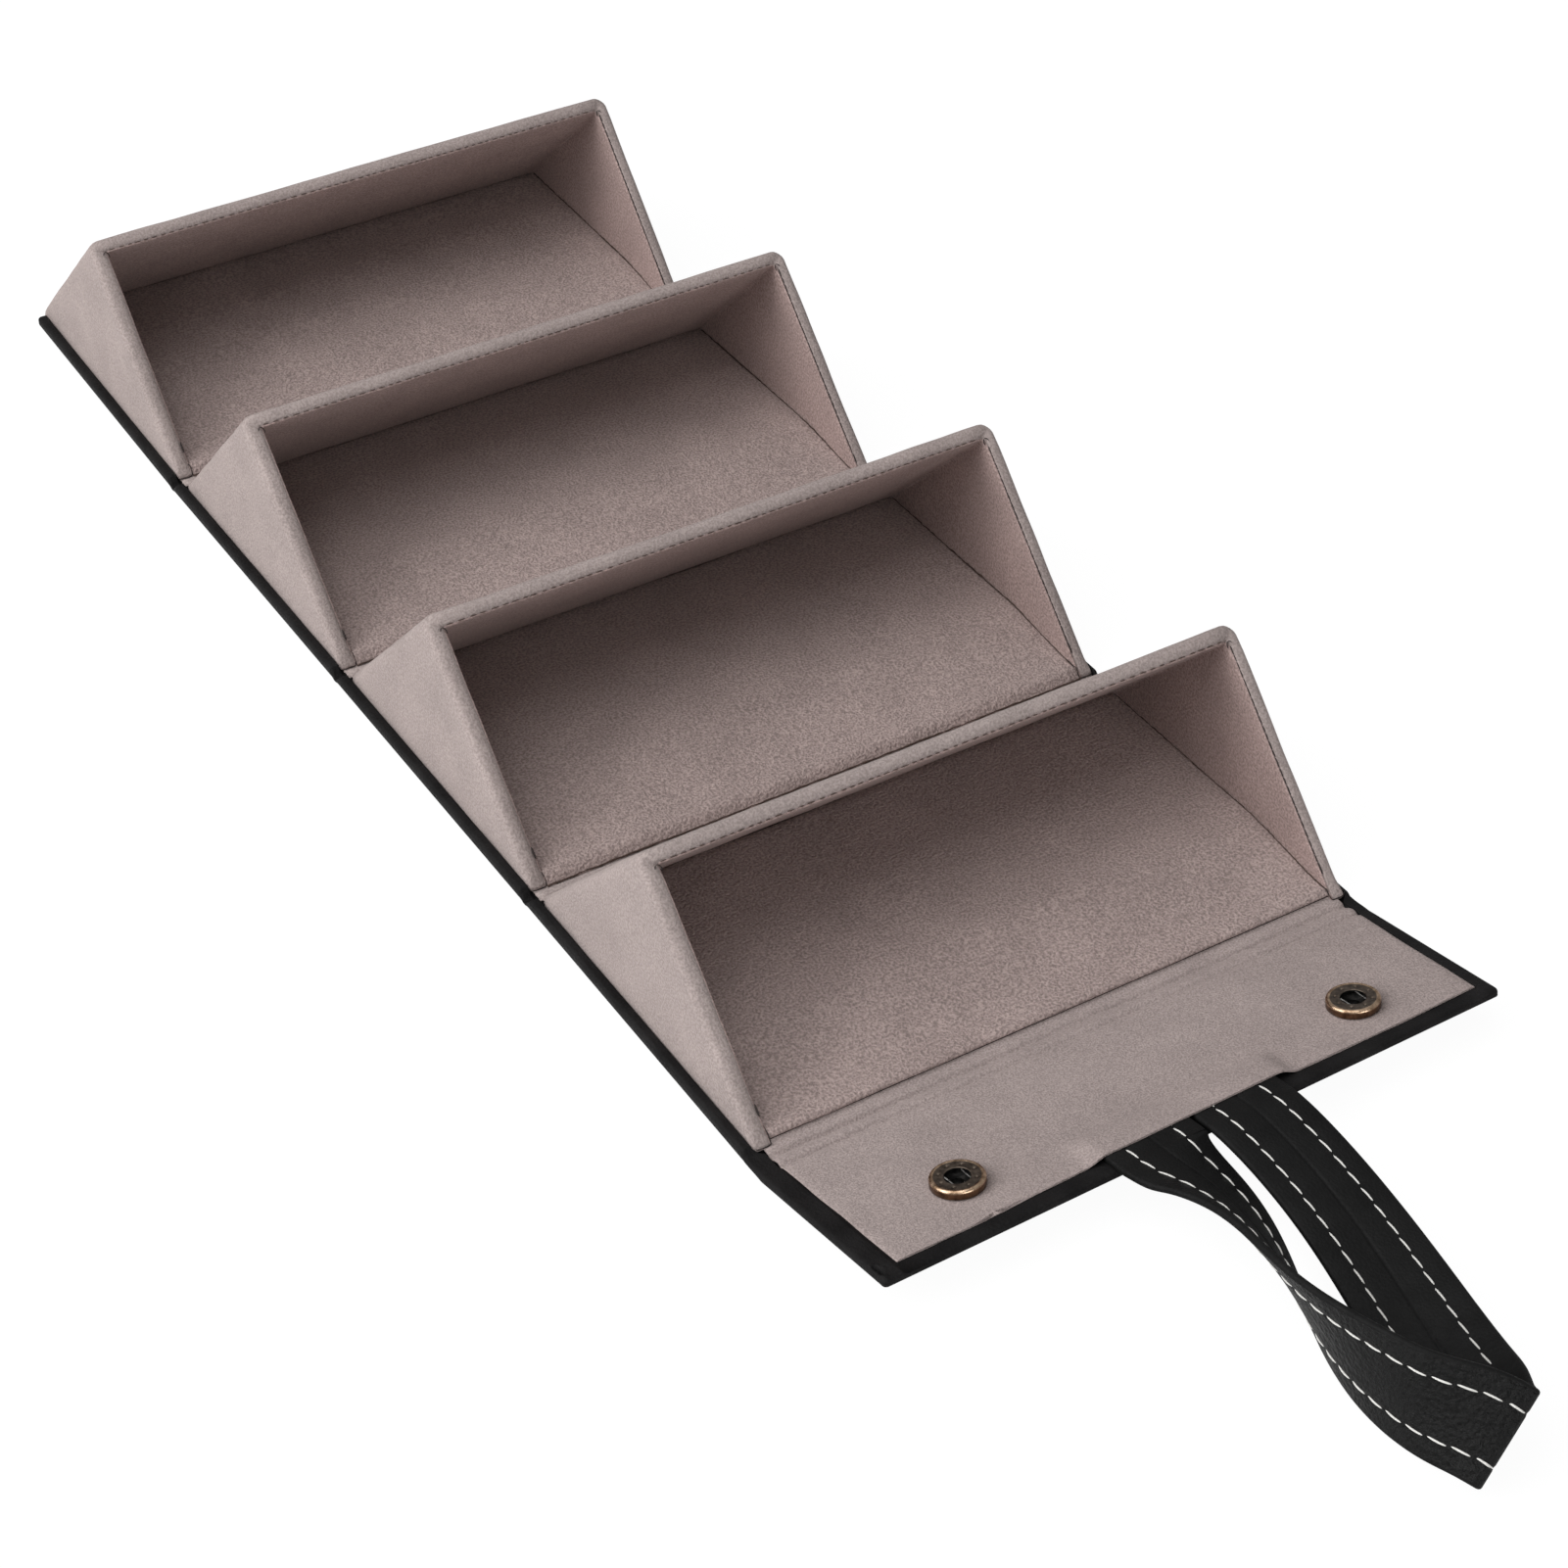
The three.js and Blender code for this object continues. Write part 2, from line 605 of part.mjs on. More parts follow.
const storageCase = new THREE.Group();
storageCase.add(strip);

export default storageCase;
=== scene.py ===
"""Looks of a roll-up case for sunglasses: velvet trays, a leather cover and flap, brass snaps and a strap."""
import json
import math
import random
from collections import namedtuple

import bmesh
import bpy
from mathutils import Matrix, Vector, noise


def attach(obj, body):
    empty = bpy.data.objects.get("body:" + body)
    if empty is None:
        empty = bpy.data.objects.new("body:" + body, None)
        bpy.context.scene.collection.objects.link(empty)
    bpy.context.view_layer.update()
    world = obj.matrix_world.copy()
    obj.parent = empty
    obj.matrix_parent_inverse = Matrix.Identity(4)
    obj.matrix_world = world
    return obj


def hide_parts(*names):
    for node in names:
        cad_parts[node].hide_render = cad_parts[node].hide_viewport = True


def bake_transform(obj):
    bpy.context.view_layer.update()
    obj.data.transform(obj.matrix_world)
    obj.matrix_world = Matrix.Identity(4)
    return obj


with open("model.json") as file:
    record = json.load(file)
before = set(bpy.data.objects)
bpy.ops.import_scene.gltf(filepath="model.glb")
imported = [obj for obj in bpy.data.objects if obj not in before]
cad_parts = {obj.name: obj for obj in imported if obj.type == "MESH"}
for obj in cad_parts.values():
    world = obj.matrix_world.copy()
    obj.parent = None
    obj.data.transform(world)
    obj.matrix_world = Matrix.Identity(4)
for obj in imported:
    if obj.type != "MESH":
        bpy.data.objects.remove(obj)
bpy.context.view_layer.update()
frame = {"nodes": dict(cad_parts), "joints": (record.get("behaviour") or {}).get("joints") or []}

# Shapes are worked out in millimetres, in the axes of the tray, the fold or the flap that carries them
MM = 0.001
ROOT2 = math.sqrt(2)
# Tangent of half the slope of the trays' rims, which is 45 degrees
HALF_SLOPE = math.tan(math.radians(22.5))
X_AXIS, Y_AXIS, Z_AXIS = Matrix.Identity(3)
TO_METRES = Matrix.Scale(MM, 4)
JOINTS = {joint["name"]: joint for joint in frame["joints"]}
Box = namedtuple("Box", "low high")


def joint_place(name):
    return Vector(JOINTS[name]["pos_m"]) / MM


def lowest_turn(name):
    """How far a joint can turn down from rest, in radians."""
    return math.radians(-JOINTS[name]["range_deg"][0])


TRAYS = (1, 2, 3, 4)
LAST = TRAYS[-1]
SIDES = ("left", "right")
FIRST_TILT = lowest_turn("fold_1_2")
FLAP_TILT = lowest_turn("flap_fold")
FLAP_FOLD = joint_place("flap_fold")
STRAP_BEND = joint_place("strap_swing")
FRONT_FOLDS = {tray: joint_place(f"fold_{tray}_{tray + 1}") for tray in TRAYS[:-1]}
PITCH = FRONT_FOLDS[2].y - FRONT_FOLDS[3].y
FRONT_FOLDS[LAST] = FRONT_FOLDS[3] - Vector((0, PITCH, 0))


def fold_matrix(number):
    return TO_METRES @ Matrix.Translation(FRONT_FOLDS[number])


def tray_matrix(number):
    return fold_matrix(number) @ Matrix.Rotation(FIRST_TILT if number == 1 else 0.0, 4, "X")


FLAP_MATRIX = TO_METRES @ Matrix.Translation(FLAP_FOLD) @ Matrix.Rotation(-FLAP_TILT, 4, "X")


def local_box(node, matrix):
    """Lowest and highest corner of a CAD node in the axes of its tray or flap."""
    back = matrix.inverted()
    axes = list(zip(*(back @ vertex.co for vertex in frame["nodes"][node].data.vertices)))
    return Box(Vector([min(axis) for axis in axes]), Vector([max(axis) for axis in axes]))


# Sizes that the frame gives
wall_box = local_box("end_wall_right_2", tray_matrix(2))
pad_box = local_box("floor_pad_2", tray_matrix(2))
cover_box = local_box("cover_leather_2", tray_matrix(2))
first_cover_box = local_box("cover_leather_1", tray_matrix(1))
board_box = local_box("cover_board_2", tray_matrix(2))
flap_box = local_box("flap_leather", FLAP_MATRIX)
lining_box = local_box("flap_lining", FLAP_MATRIX)
left_tab = local_box("strap_tab_left", FLAP_MATRIX)
right_tab = local_box("strap_tab_right", FLAP_MATRIX)

TRAY_HALF = wall_box.high.x
INSIDE_HALF = wall_box.low.x
WALL = TRAY_HALF - INSIDE_HALF
TRAY_LOW = wall_box.low.z
CLOSE_GAP = (wall_box.low.y - TRAY_LOW) / ROOT2
FRONT_GAP = CLOSE_GAP * ROOT2
FLOOR_HALF = pad_box.high.x
FLOOR_TOP = pad_box.high.z
SKIN = -cover_box.low.z
HEM_TOP = cover_box.high.z
COVER_FRONT = cover_box.low.y
FLAP_REACH = -flap_box.low.y
FLAP_OFFSET = FRONT_FOLDS[LAST].y - FLAP_FOLD.y
LINING_REACH = -lining_box.low.y
LINING_HALF = lining_box.high.x
STRAP_WIDTH = left_tab.high.x - left_tab.low.x
STRAP_THICK = left_tab.high.z - left_tab.low.z
STRAP_MIDDLE = (left_tab.high.x + right_tab.low.x) / 2
STRAP_GAP = right_tab.low.x - left_tab.high.x
STRAP_TAB = left_tab.high.y - left_tab.low.y
TAB_TOP = left_tab.high.z


# Small helpers
def lerp(low, high, share):
    return low + (high - low) * share


def smooth(low, high, value):
    """0 at low, 1 at high, eased between; low may be the larger."""
    share = min(max((value - low) / (high - low), 0.0), 1.0)
    return share * share * (3 - 2 * share)


def dent(value, place, half):
    """A soft bump, 1 at its place and small beyond its half width."""
    return math.exp(-(((value - place) / half) ** 2))


def wave(value, shape, line=0):
    """Slow noise along a line. Its shape is a height, the length of its waves and a seed."""
    height, length, seed = shape
    return height * noise.noise(Vector((value / length, seed, line)))


def shares(count):
    """Even steps from 0 to 1."""
    return [i / count for i in range(count + 1)]


def spaced(start, end, step):
    """Even steps from start to end, none longer than this."""
    count = max(1, math.ceil(abs(end - start) / step))
    return [lerp(start, end, share) for share in shares(count)]


def edged(half, stations, step):
    """Places from -half to half, at these stations from both edges and evenly spaced between."""
    edge = [-half + station for station in stations]
    return edge + spaced(edge[-1], -edge[-1], step)[1:-1] + [-place for place in reversed(edge)]


def arc(centre, radius, start, end, count):
    """Points on an arc, its angles in degrees."""
    angles = [math.radians(lerp(start, end, share)) for share in shares(count)]
    return [(centre[0] + radius * math.cos(a), centre[1] + radius * math.sin(a)) for a in angles]


def add_object(name, data):
    thing = bpy.data.objects.new(name, data)
    bpy.context.scene.collection.objects.link(thing)
    return thing


class Skin:
    """Points and faces of one piece. Points come in millimetres, in the axes of its matrix."""

    def __init__(self, matrix=TO_METRES):
        self.matrix = matrix
        self.points = []
        self.faces = []
        self.finishes = []
        self.caps = []

    def loft(self, rows, finish=0, ring=False):
        """A closed skin through rows of loops, with both ends capped, or joined where it is a ring.

        The finish is the number of a material, or a function of row and column that gives it.
        """
        finish_at = finish if callable(finish) else lambda row, column: finish
        count = len(rows)
        across = len(rows[0])
        start = len(self.points)
        self.points += [self.matrix @ Vector(point) for row in rows for point in row]
        for r in range(count if ring else count - 1):
            here = start + r * across
            there = start + (r + 1) % count * across
            for c in range(across):
                d = (c + 1) % across
                self.faces.append((here + c, here + d, there + d, there + c))
                self.finishes.append(finish_at(r, c))
        for r, order in () if ring else ((0, -1), (count - 1, 1)):
            first = start + r * across
            self.caps.append(len(self.faces))
            self.faces.append(tuple(range(first, first + across))[::order])
            self.finishes.append(finish_at(r, 0))

    def build(self, name, *materials):
        mesh = bpy.data.meshes.new(name)
        mesh.from_pydata(self.points, [], self.faces)
        for material in materials:
            mesh.materials.append(material)
        mesh.polygons.foreach_set("material_index", self.finishes)
        mesh.shade_smooth()
        for index in self.caps:
            mesh.polygons[index].use_smooth = False
        shape = bmesh.new()
        shape.from_mesh(mesh)
        bmesh.ops.recalc_face_normals(shape, faces=shape.faces)
        shape.to_mesh(mesh)
        shape.free()
        return add_object(name, mesh)


def lofted(name, matrix, rows, *materials, finish=0, ring=False):
    """A piece of one skin."""
    skin = Skin(matrix)
    skin.loft(rows, finish, ring)
    return skin.build(name, *materials)


def soften(piece, reach, height, seed):
    """Moves each point a little along its normal, as padding does under cloth."""
    offset = Vector((seed, seed, seed))
    mesh = piece.data
    normals = [vertex.normal.copy() for vertex in mesh.vertices]
    for vertex, normal in zip(mesh.vertices, normals):
        vertex.co += normal * height * MM * noise.noise(vertex.co / (reach * MM) + offset)
    mesh.update()


# Materials
def add_node(tree, kind, sockets, **settings):
    """A shader node, each of its sockets set to a plain value or linked to another node's output."""
    node = tree.nodes.new("ShaderNode" + kind)
    for name, value in settings.items():
        setattr(node, name, value)
    for socket, value in sockets.items():
        if isinstance(value, bpy.types.NodeSocket):
            tree.links.new(value, node.inputs[socket])
        else:
            node.inputs[socket].default_value = value
    return node


class Surface:
    """A material with the patterns that feed its shader. Sizes are in millimetres."""

    def __init__(self, name, constants):
        self.material = bpy.data.materials.new(name)
        self.material.use_nodes = True
        self.tree = self.material.node_tree
        self.shader = self.tree.nodes["Principled BSDF"]
        for socket, value in constants.items():
            self.shader.inputs[socket].default_value = value
        self.where = add_node(self.tree, "TexCoord", {}).outputs["Object"]
        self.relief = {}

    def noise(self, size, detail):
        """Soft noise whose features are about this large."""
        sockets = {"Scale": 1 / (size * MM), "Detail": detail, "Vector": self.where}
        return add_node(self.tree, "TexNoise", sockets).outputs["Fac"]

    def cells(self, size):
        sockets = {"Scale": 1 / (size * MM), "Vector": self.where}
        return add_node(self.tree, "TexVoronoi", sockets, feature="SMOOTH_F1").outputs["Distance"]

    def ramp(self, factor, span, dark, light):
        """Colours that go from dark to light over this span of a pattern."""
        node = add_node(self.tree, "ValToRGB", {"Fac": factor})
        for stop, place, colour in zip(node.color_ramp.elements, span, (dark, light)):
            stop.position = place
            stop.color = (*colour, 1)
        return node.outputs["Color"]

    def multiplied(self, first, second):
        sockets = {"Factor": 1.0, "A": first, "B": second}
        return add_node(self.tree, "Mix", sockets, data_type="RGBA", blend_type="MULTIPLY").outputs["Result"]

    def feed(self, socket, pattern):
        self.tree.links.new(pattern, self.shader.inputs[socket])

    def bump(self, height, depth):
        """Relief this deep, on top of the relief that is there."""
        sockets = {"Strength": 1.0, "Distance": depth * MM, "Height": height, **self.relief}
        self.relief = {"Normal": add_node(self.tree, "Bump", sockets).outputs["Normal"]}
        self.feed("Normal", self.relief["Normal"])


def grey(tone):
    return (tone,) * 3


# The span of a noise that most of it lies in, and narrower ones for more contrast
WIDE_SPAN = (0.3, 0.7)
TARNISH_SPAN = (0.35, 0.65)
SPECK_SPAN = (0.37, 0.63)
# Sizes of the patterns, with their noise's detail
BRUSHED_PATCH = (16, 4)
LEATHER_STAIN = (9, 4)
LEATHER_GLOSS = (5, 4)
FIBRE = (0.35, 2)
TARNISH = (1.6, 5)
METAL_GLOSS = (0.9, 4)
METAL_GRAIN = (0.4, 3)
NAP_DETAIL = 3
FINE_DETAIL = 2
BRUSHED_SHARE = 0.865
# Broad tufts and fine leather grain: their size and relief, as shares of the main ones
BROAD_SIZE, BROAD_SHARE = 3.5, 0.6
GRAIN_SIZE, GRAIN_SHARE = 1 / 3, 1 / 2
FIBRE_RELIEF = 0.08
METAL_RELIEF = 0.03
VELVET_CONSTANTS = {
    "Roughness": 0.95,
    "Specular IOR Level": 0.05,
    "Sheen Weight": 0.12,
    "Sheen Roughness": 0.5,
    "Sheen Tint": (0.95, 0.87, 0.84, 1),
}


def velvet(name, nap, relief, contrast, tone):
    """Short taupe nap in tufts of this size, brushed a little lighter and darker in patches."""
    surface = Surface(name, VELVET_CONSTANTS)
    brushed = [BRUSHED_SHARE * part for part in tone]
    patches = surface.ramp(surface.noise(*BRUSHED_PATCH), WIDE_SPAN, brushed, tone)
    tufts = surface.noise(nap, NAP_DETAIL)
    specks = surface.ramp(tufts, SPECK_SPAN, grey(1 - contrast), grey(1))
    surface.feed("Base Color", surface.multiplied(patches, specks))
    surface.bump(surface.noise(BROAD_SIZE * nap, FINE_DETAIL), BROAD_SHARE * relief)
    surface.bump(tufts, relief)
    return surface.material


def leather(name, grain, relief, tones, dulls, shine):
    """Black leather with pebbles of this size and relief, its gloss a little uneven."""
    surface = Surface(name, {"Specular IOR Level": shine})
    surface.feed("Base Color", surface.ramp(surface.noise(*LEATHER_STAIN), WIDE_SPAN, *tones))
    surface.feed("Roughness", surface.ramp(surface.noise(*LEATHER_GLOSS), WIDE_SPAN, *map(grey, dulls)))
    surface.bump(surface.cells(grain), relief)
    surface.bump(surface.noise(GRAIN_SIZE * grain, FINE_DETAIL), GRAIN_SHARE * relief)
    return surface.material


def thread(name, dark, light):
    surface = Surface(name, {"Roughness": 0.8})
    fibres = surface.noise(*FIBRE)
    surface.feed("Base Color", surface.ramp(fibres, WIDE_SPAN, dark, light))
    surface.bump(fibres, FIBRE_RELIEF)
    return surface.material


def metal(name, dark, light, dulls):
    """Metal with tarnish in the dark tone and wear in the light one."""
    surface = Surface(name, {"Metallic": 1.0})
    surface.feed("Base Color", surface.ramp(surface.noise(*TARNISH), TARNISH_SPAN, dark, light))
    surface.feed("Roughness", surface.ramp(surface.noise(*METAL_GLOSS), WIDE_SPAN, *map(grey, dulls)))
    surface.bump(surface.noise(*METAL_GRAIN), METAL_RELIEF)
    return surface.material


# The floor and inner velvets are the plain taupe made warmer and redder: painted warm shade, for the reddish
# bounce light inside the trays. Their nap, relief and specks are their own.
VELVET = velvet("velvet", 0.6, 0.25, 0.3, (0.465, 0.389, 0.37))
FLOOR_VELVET_PAINTED_WARM_SHADE = velvet("floor_velvet_painted_warm_shade", 0.7, 0.6, 0.44, (0.515, 0.405, 0.382))
INNER_VELVET_PAINTED_WARM_SHADE = velvet("inner_velvet_painted_warm_shade", 0.7, 0.33, 0.4, (0.485, 0.362, 0.338))
LINING_VELVET = velvet("lining_velvet", 0.5, 0.25, 0.34, (0.468, 0.387, 0.37))
COVER_TONES = ((0.005, 0.0046, 0.0048), (0.0115, 0.0108, 0.011))
LEATHER = leather("leather", 0.8, 0.16, COVER_TONES, (0.5, 0.66), 0.1)
STRAP_GRAIN = leather("strap_grain", 1.2, 0.85, (grey(0.0022), grey(0.0045)), (0.32, 0.46), 0.17)
STRAP_BACK = leather("strap_back", 0.7, 0.14, (grey(0.004), grey(0.0075)), (0.5, 0.65), 0.12)
WHITE_THREAD = thread("white_thread", (0.62, 0.61, 0.58), (0.86, 0.85, 0.82))
# The dark and brown threads also colour the tubes of painted shade at the floors' noses and round the walls'
# front ends.
DARK_THREAD_AND_SHADE = thread("dark_thread_and_painted_shade", (0.012, 0.008, 0.007), (0.04, 0.028, 0.025))
BROWN_THREAD_AND_SHADE = thread("brown_thread_and_painted_shade", (0.032, 0.018, 0.013), (0.095, 0.06, 0.047))
PATINA = metal("brass_patina", (0.06, 0.047, 0.038), (0.14, 0.112, 0.09), (0.36, 0.52))
BRIGHT_BRASS = metal("brass_bright", (0.24, 0.155, 0.095), (0.6, 0.43, 0.3), (0.2, 0.34))
DARK_BRASS = metal("brass_dark", (0.085, 0.045, 0.025), (0.2, 0.115, 0.065), (0.3, 0.45))
# Near black inside the sockets and on the ends of the cap posts: painted shade of the sockets' deep holes,
# not the brass's colour.
HOLLOW_PAINTED_SHADE = metal("socket_hollow_painted_shade", (0.008, 0.008, 0.008), (0.02, 0.019, 0.018), (0.5, 0.7))
STEEL = metal("spring_steel", (0.14, 0.135, 0.13), (0.34, 0.33, 0.32), (0.2, 0.35))

# Tray walls. Along is measured up the rim from the fold, and depth square to the plane of the rims.
FOOT_LEVEL = 0.55
FOOT = FOOT_LEVEL * ROOT2
TIP = FOOT + CLOSE_GAP
TIP_ROUND = 0.7
TIP_BLUNT = 0.998
TIP_TANGENT = TIP_ROUND / HALF_SLOPE
TIP_CENTRE = TIP + TIP_TANGENT
RIM_START = TIP_CENTRE - TIP_BLUNT * TIP_ROUND
RIM_END = (PITCH / 2 + wall_box.high.z) / ROOT2
RIM_OUTER_ROUND = 2.0
WALL_CORNER_ROUND = 3.5
INNER_CORNER_ROUND = 0.8
BACK_FOOT_ROUND = 2.6
FOOT_ROUND = 0.5
LEFT_SWELL = 1.0055
APEX_SINK = 1.5
APEX_REACH = 6.0
FULL_ROOM = 6.0
PINCH_REACH = 2.0
PINCH = 1.0
INNER_PINCH = -0.35
# The seam inside the rim is rolled under beside the left wall, partly so beside the back wall, and open
# beside the right one. Each has its distance from the inner face and its share of the roll.
LEFT_SEAM = (0.15, 1.0)
BACK_SEAM = (0.4, 0.75)
RIGHT_SEAM = (0.65, 0.0)
# Sizes at the seam, open and rolled under
SEAM_ROLL = ((0.8, 1.5), (0.42, 0.7), (0.17, 0.25))
SEAM_FALL = ((0.0, 0.0), (0.05, 0.2), (0.2, 0.5))
SEAM_DEPTH = (0.5, 0.8)
INNER_LOW = (0.1, 0.7)
INNER_EDGE_ROUND = (0.5, 0.1)
INNER_STEP = (0.13, 0.28)
INNER_PROUD = 0.12
END_ROWS = 26
END_CROWDING = 1.6
CORNER_ROWS = 5
BACK_ROWS = 40
FOOT_COLUMNS = 2
FACE_COLUMNS = 10
ROUND_COLUMNS = 4
SEAM_COLUMN = FOOT_COLUMNS + FACE_COLUMNS + 1 + ROUND_COLUMNS + len(SEAM_ROLL)
# Length and height of the padding's waves
SHELL_WAVE = (13, 0.2)


def on_rim(x, along, depth):
    return Vector((x, (along + depth) / ROOT2, (along - depth) / ROOT2))


def tip_half(along):
    reach = min(max(TIP_CENTRE - along, 0.0), TIP_ROUND)
    return math.sqrt(TIP_ROUND**2 - reach**2)


def rim_depth(along):
    return CLOSE_GAP + TIP_ROUND - tip_half(along)


def foot_depth(along, back_round=0.0):
    """Depth of the wall's foot; the back corner of the first tray is rounded."""
    if along < TIP + TIP_TANGENT / ROOT2:
        return CLOSE_GAP + TIP_ROUND + tip_half(along)
    middle = RIM_END - back_round
    if along > middle - back_round / ROOT2 and back_round:
        rise = math.sqrt(max(0.0, back_round**2 - (along - middle) ** 2))
        return middle - FOOT - ROOT2 * back_round + rise
    return along - FOOT


def tip_pinch(along):
    """How far the rounded front end of an end wall draws in from each side."""
    share = max(0.0, 1 - (along - RIM_START) / PINCH_REACH)
    return PINCH * (1 - math.sqrt(1 - share**2))


def rim_path(half, reach, corner, inward):
    """Points (across, along) of a U from the left front end round to the right one."""
    left = []
    for share in shares(END_ROWS):
        along = lerp(RIM_START, reach - corner, share**END_CROWDING)
        left.append((inward * tip_pinch(along) - half, along))
    left += arc((corner - half, reach - corner), corner, 180, 90, CORNER_ROWS)[1:-1]
    straight = half - corner
    back = [(lerp(-straight, straight, share), reach) for share in shares(BACK_ROWS)]
    right = [(-x, along) for x, along in reversed(left)]
    return left + back + right


def seam_insets():
    """The seam's inset and roll at each row of the rim's path."""
    end_rows = END_ROWS + 1
    insets = [LEFT_SEAM] * end_rows
    for first, second, rows in ((LEFT_SEAM, BACK_SEAM, BACK_ROWS + 1), (BACK_SEAM, RIGHT_SEAM, end_rows)):
        for turn in shares(CORNER_ROWS)[1:-1]:
            insets.append([lerp(a, b, turn) for a, b in zip(first, second)])
        insets += [second] * rows
    return insets


def apex_sink(outer):
    """How far the rim falls near the corner where an end wall meets the back wall."""
    from_corner = math.dist((abs(outer[0]), outer[1]), (TRAY_HALF, RIM_END))
    return APEX_SINK * max(0.0, 1 - from_corner / APEX_REACH) ** 2


def wall_section(outer, inner, seam_place, back_round):
    """Loop round one cut through the wall: outer face, rim, seam, the inner velvet's edge and inner face."""
    thickness = math.dist(outer, inner)
    inset, rolled = seam_place

    def at(inward, depth):
        share = inward / thickness
        return on_rim(lerp(outer[0], inner[0], share), lerp(outer[1], inner[1], share), depth)

    sunk = apex_sink(outer)
    rim = rim_depth(outer[1]) + sunk
    foot = foot_depth(outer[1], back_round)
    inner_rim = rim_depth(inner[1]) + sunk
    inner_foot = foot_depth(inner[1])
    fit = min(1.0, (inner_foot - inner_rim) / FULL_ROOM)
    foot_round = FOOT_ROUND * fit
    outer_round = RIM_OUTER_ROUND * fit
    edge_round = lerp(*INNER_EDGE_ROUND, rolled) * fit
    low = lerp(*INNER_LOW, rolled) * fit
    inner_edge = inner_rim + low + edge_round
    proud = INNER_PROUD * fit
    seam = thickness - inset
    loop = []
    for inward, rise in arc((foot_round, 0), foot_round, 90, 180, FOOT_COLUMNS)[:-1]:
        loop.append(at(inward, foot - foot_round + rise))
    for share in shares(FACE_COLUMNS):
        loop.append(at(0, lerp(foot - foot_round, rim + outer_round, share)))
    for inward, rise in arc((outer_round, 0), outer_round, 180, 90, ROUND_COLUMNS)[1:]:
        loop.append(at(inward, rim + outer_round - rise))
    for roll, fall in zip(SEAM_ROLL, SEAM_FALL):
        loop.append(at(seam - lerp(*roll, rolled), inner_rim + lerp(*fall, rolled) * fit))
    loop.append(at(seam, inner_rim + lerp(*SEAM_DEPTH, rolled) * fit))
    loop.append(at(seam + INNER_STEP[0], inner_rim + max(INNER_STEP[1] * fit, low)))
    for inward, rise in arc((thickness + proud - edge_round, 0), edge_round, 90, 0, ROUND_COLUMNS):
        loop.append(at(inward, inner_edge - rise))
    for share in shares(FACE_COLUMNS)[1:]:
        loop.append(at(thickness + proud * (1 - share), lerp(inner_edge, inner_foot, share)))
    return loop


def make_shell(number):
    """Back wall and both end walls of one tray, under one velvet."""
    outer = rim_path(TRAY_HALF, RIM_END, WALL_CORNER_ROUND, 1)
    outer = [(x * LEFT_SWELL if x < 0 else x, along) for x, along in outer]
    inner = rim_path(INSIDE_HALF, RIM_END - WALL, INNER_CORNER_ROUND, INNER_PINCH)
    back_round = BACK_FOOT_ROUND if number == 1 else 0.0
    rows = [wall_section(*places, back_round) for places in zip(outer, inner, seam_insets())]

    def finish(row, column):
        # The inner faces past the seam take the warmer velvet of painted warm shade.
        return int(column >= SEAM_COLUMN)

    shell = lofted(f"velvet_shell_{number}", tray_matrix(number), rows, VELVET, INNER_VELVET_PAINTED_WARM_SHADE, finish=finish)
    soften(shell, *SHELL_WAVE, number)
    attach(shell, f"tray_{number}")
    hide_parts(f"back_wall_{number}", f"end_wall_left_{number}", f"end_wall_right_{number}")


# Threads in the trays, and dark tubes that paint the shade in the crevices at the floors' noses and round the
# walls' front ends
DARK, BROWN = 0, 1
STITCH_SIDES = 6
STITCH_RING = arc((0, 0), 1, 0, 360, STITCH_SIDES)[:-1]
STITCH_TAPER = (0.45, 0.9, 1.0, 1.0, 0.9, 0.45)
STITCH_SHARES = shares(len(STITCH_TAPER) - 1)
# Lengths, gaps, half thickness and thread of the stitches in a seam
END_STITCH = ((1.8, 2.8), (0.08, 0.3), 0.17, DARK)
BACK_STITCH = ((1.2, 2.2), (0.7, 1.6), 0.14, BROWN)
SEAM_STITCH_MARGIN = 11.0
STITCH_SUNK = 0.24
TICK_LENGTH = 3.2
TICK_HALF = 0.3
JOINT_STEP = 1.1
JOINT_HALF = (0.07, 0.26)
JOINT_WANDER = 0.2
JOINT_SUNK = 0.05
JOINT_FRONT = 5.5
JOINT_BACK_GAP = 1.0
JOINT_INSET = 0.22
# The tip line's run: places back from the fold, then (across, back, rise) from the wall's inside and outside
TIP_LINE_FLOOR = (9.0, 7.6, 6.4)
TIP_LINE_NOSE = (5.2, 4.4, 3.6, 2.8)
TIP_LINE_INSETS = (0.1, 0.05)
TIP_LINE_INSIDE = ((0.1, 2.1, 0.4), (0.6, 1.95, 0.0))
TIP_LINE_FRONT = (0.3, 0.6)
TIP_LINE_OUTSIDE = ((-1.0, 1.9, 0.0), (-0.4, 2.15, 0.1), (0.0, 2.7, 0.4))
TIP_LINE_HALF = (0.1, 0.2)
TIP_LINE_WANDER = 0.12
TIP_LINE_LIFT = 0.05
LAST_TIP_LINE_LIFT = 0.1
NOSE_LINE = (1.8, 1.25)
NOSE_LINE_STEP = 1.6
NOSE_LINE_HALF = (0.16, 0.34)
CURL_REACH = 1.8
CURL_TURN = (200, 20)
CURL_SHAPE = (0.5, 0.8)
CURL_HALF = 0.22


def thread_ring(place, side, up, half_wide, half_high):
    """Loop round a thread at one place."""
    return [place + side * (across * half_wide) + up * (rise * half_high) for across, rise in STITCH_RING]


def add_stitch(skin, places, side, up, half_wide, half_high, tone=0):
    """One stitch through its places, thinner at its ends, in the first or second thread of its piece."""
    rows = []
    for place, taper in zip(places, STITCH_TAPER):
        rows.append(thread_ring(place, side, up, half_wide * taper, half_high * taper))
    skin.loft(rows, tone)


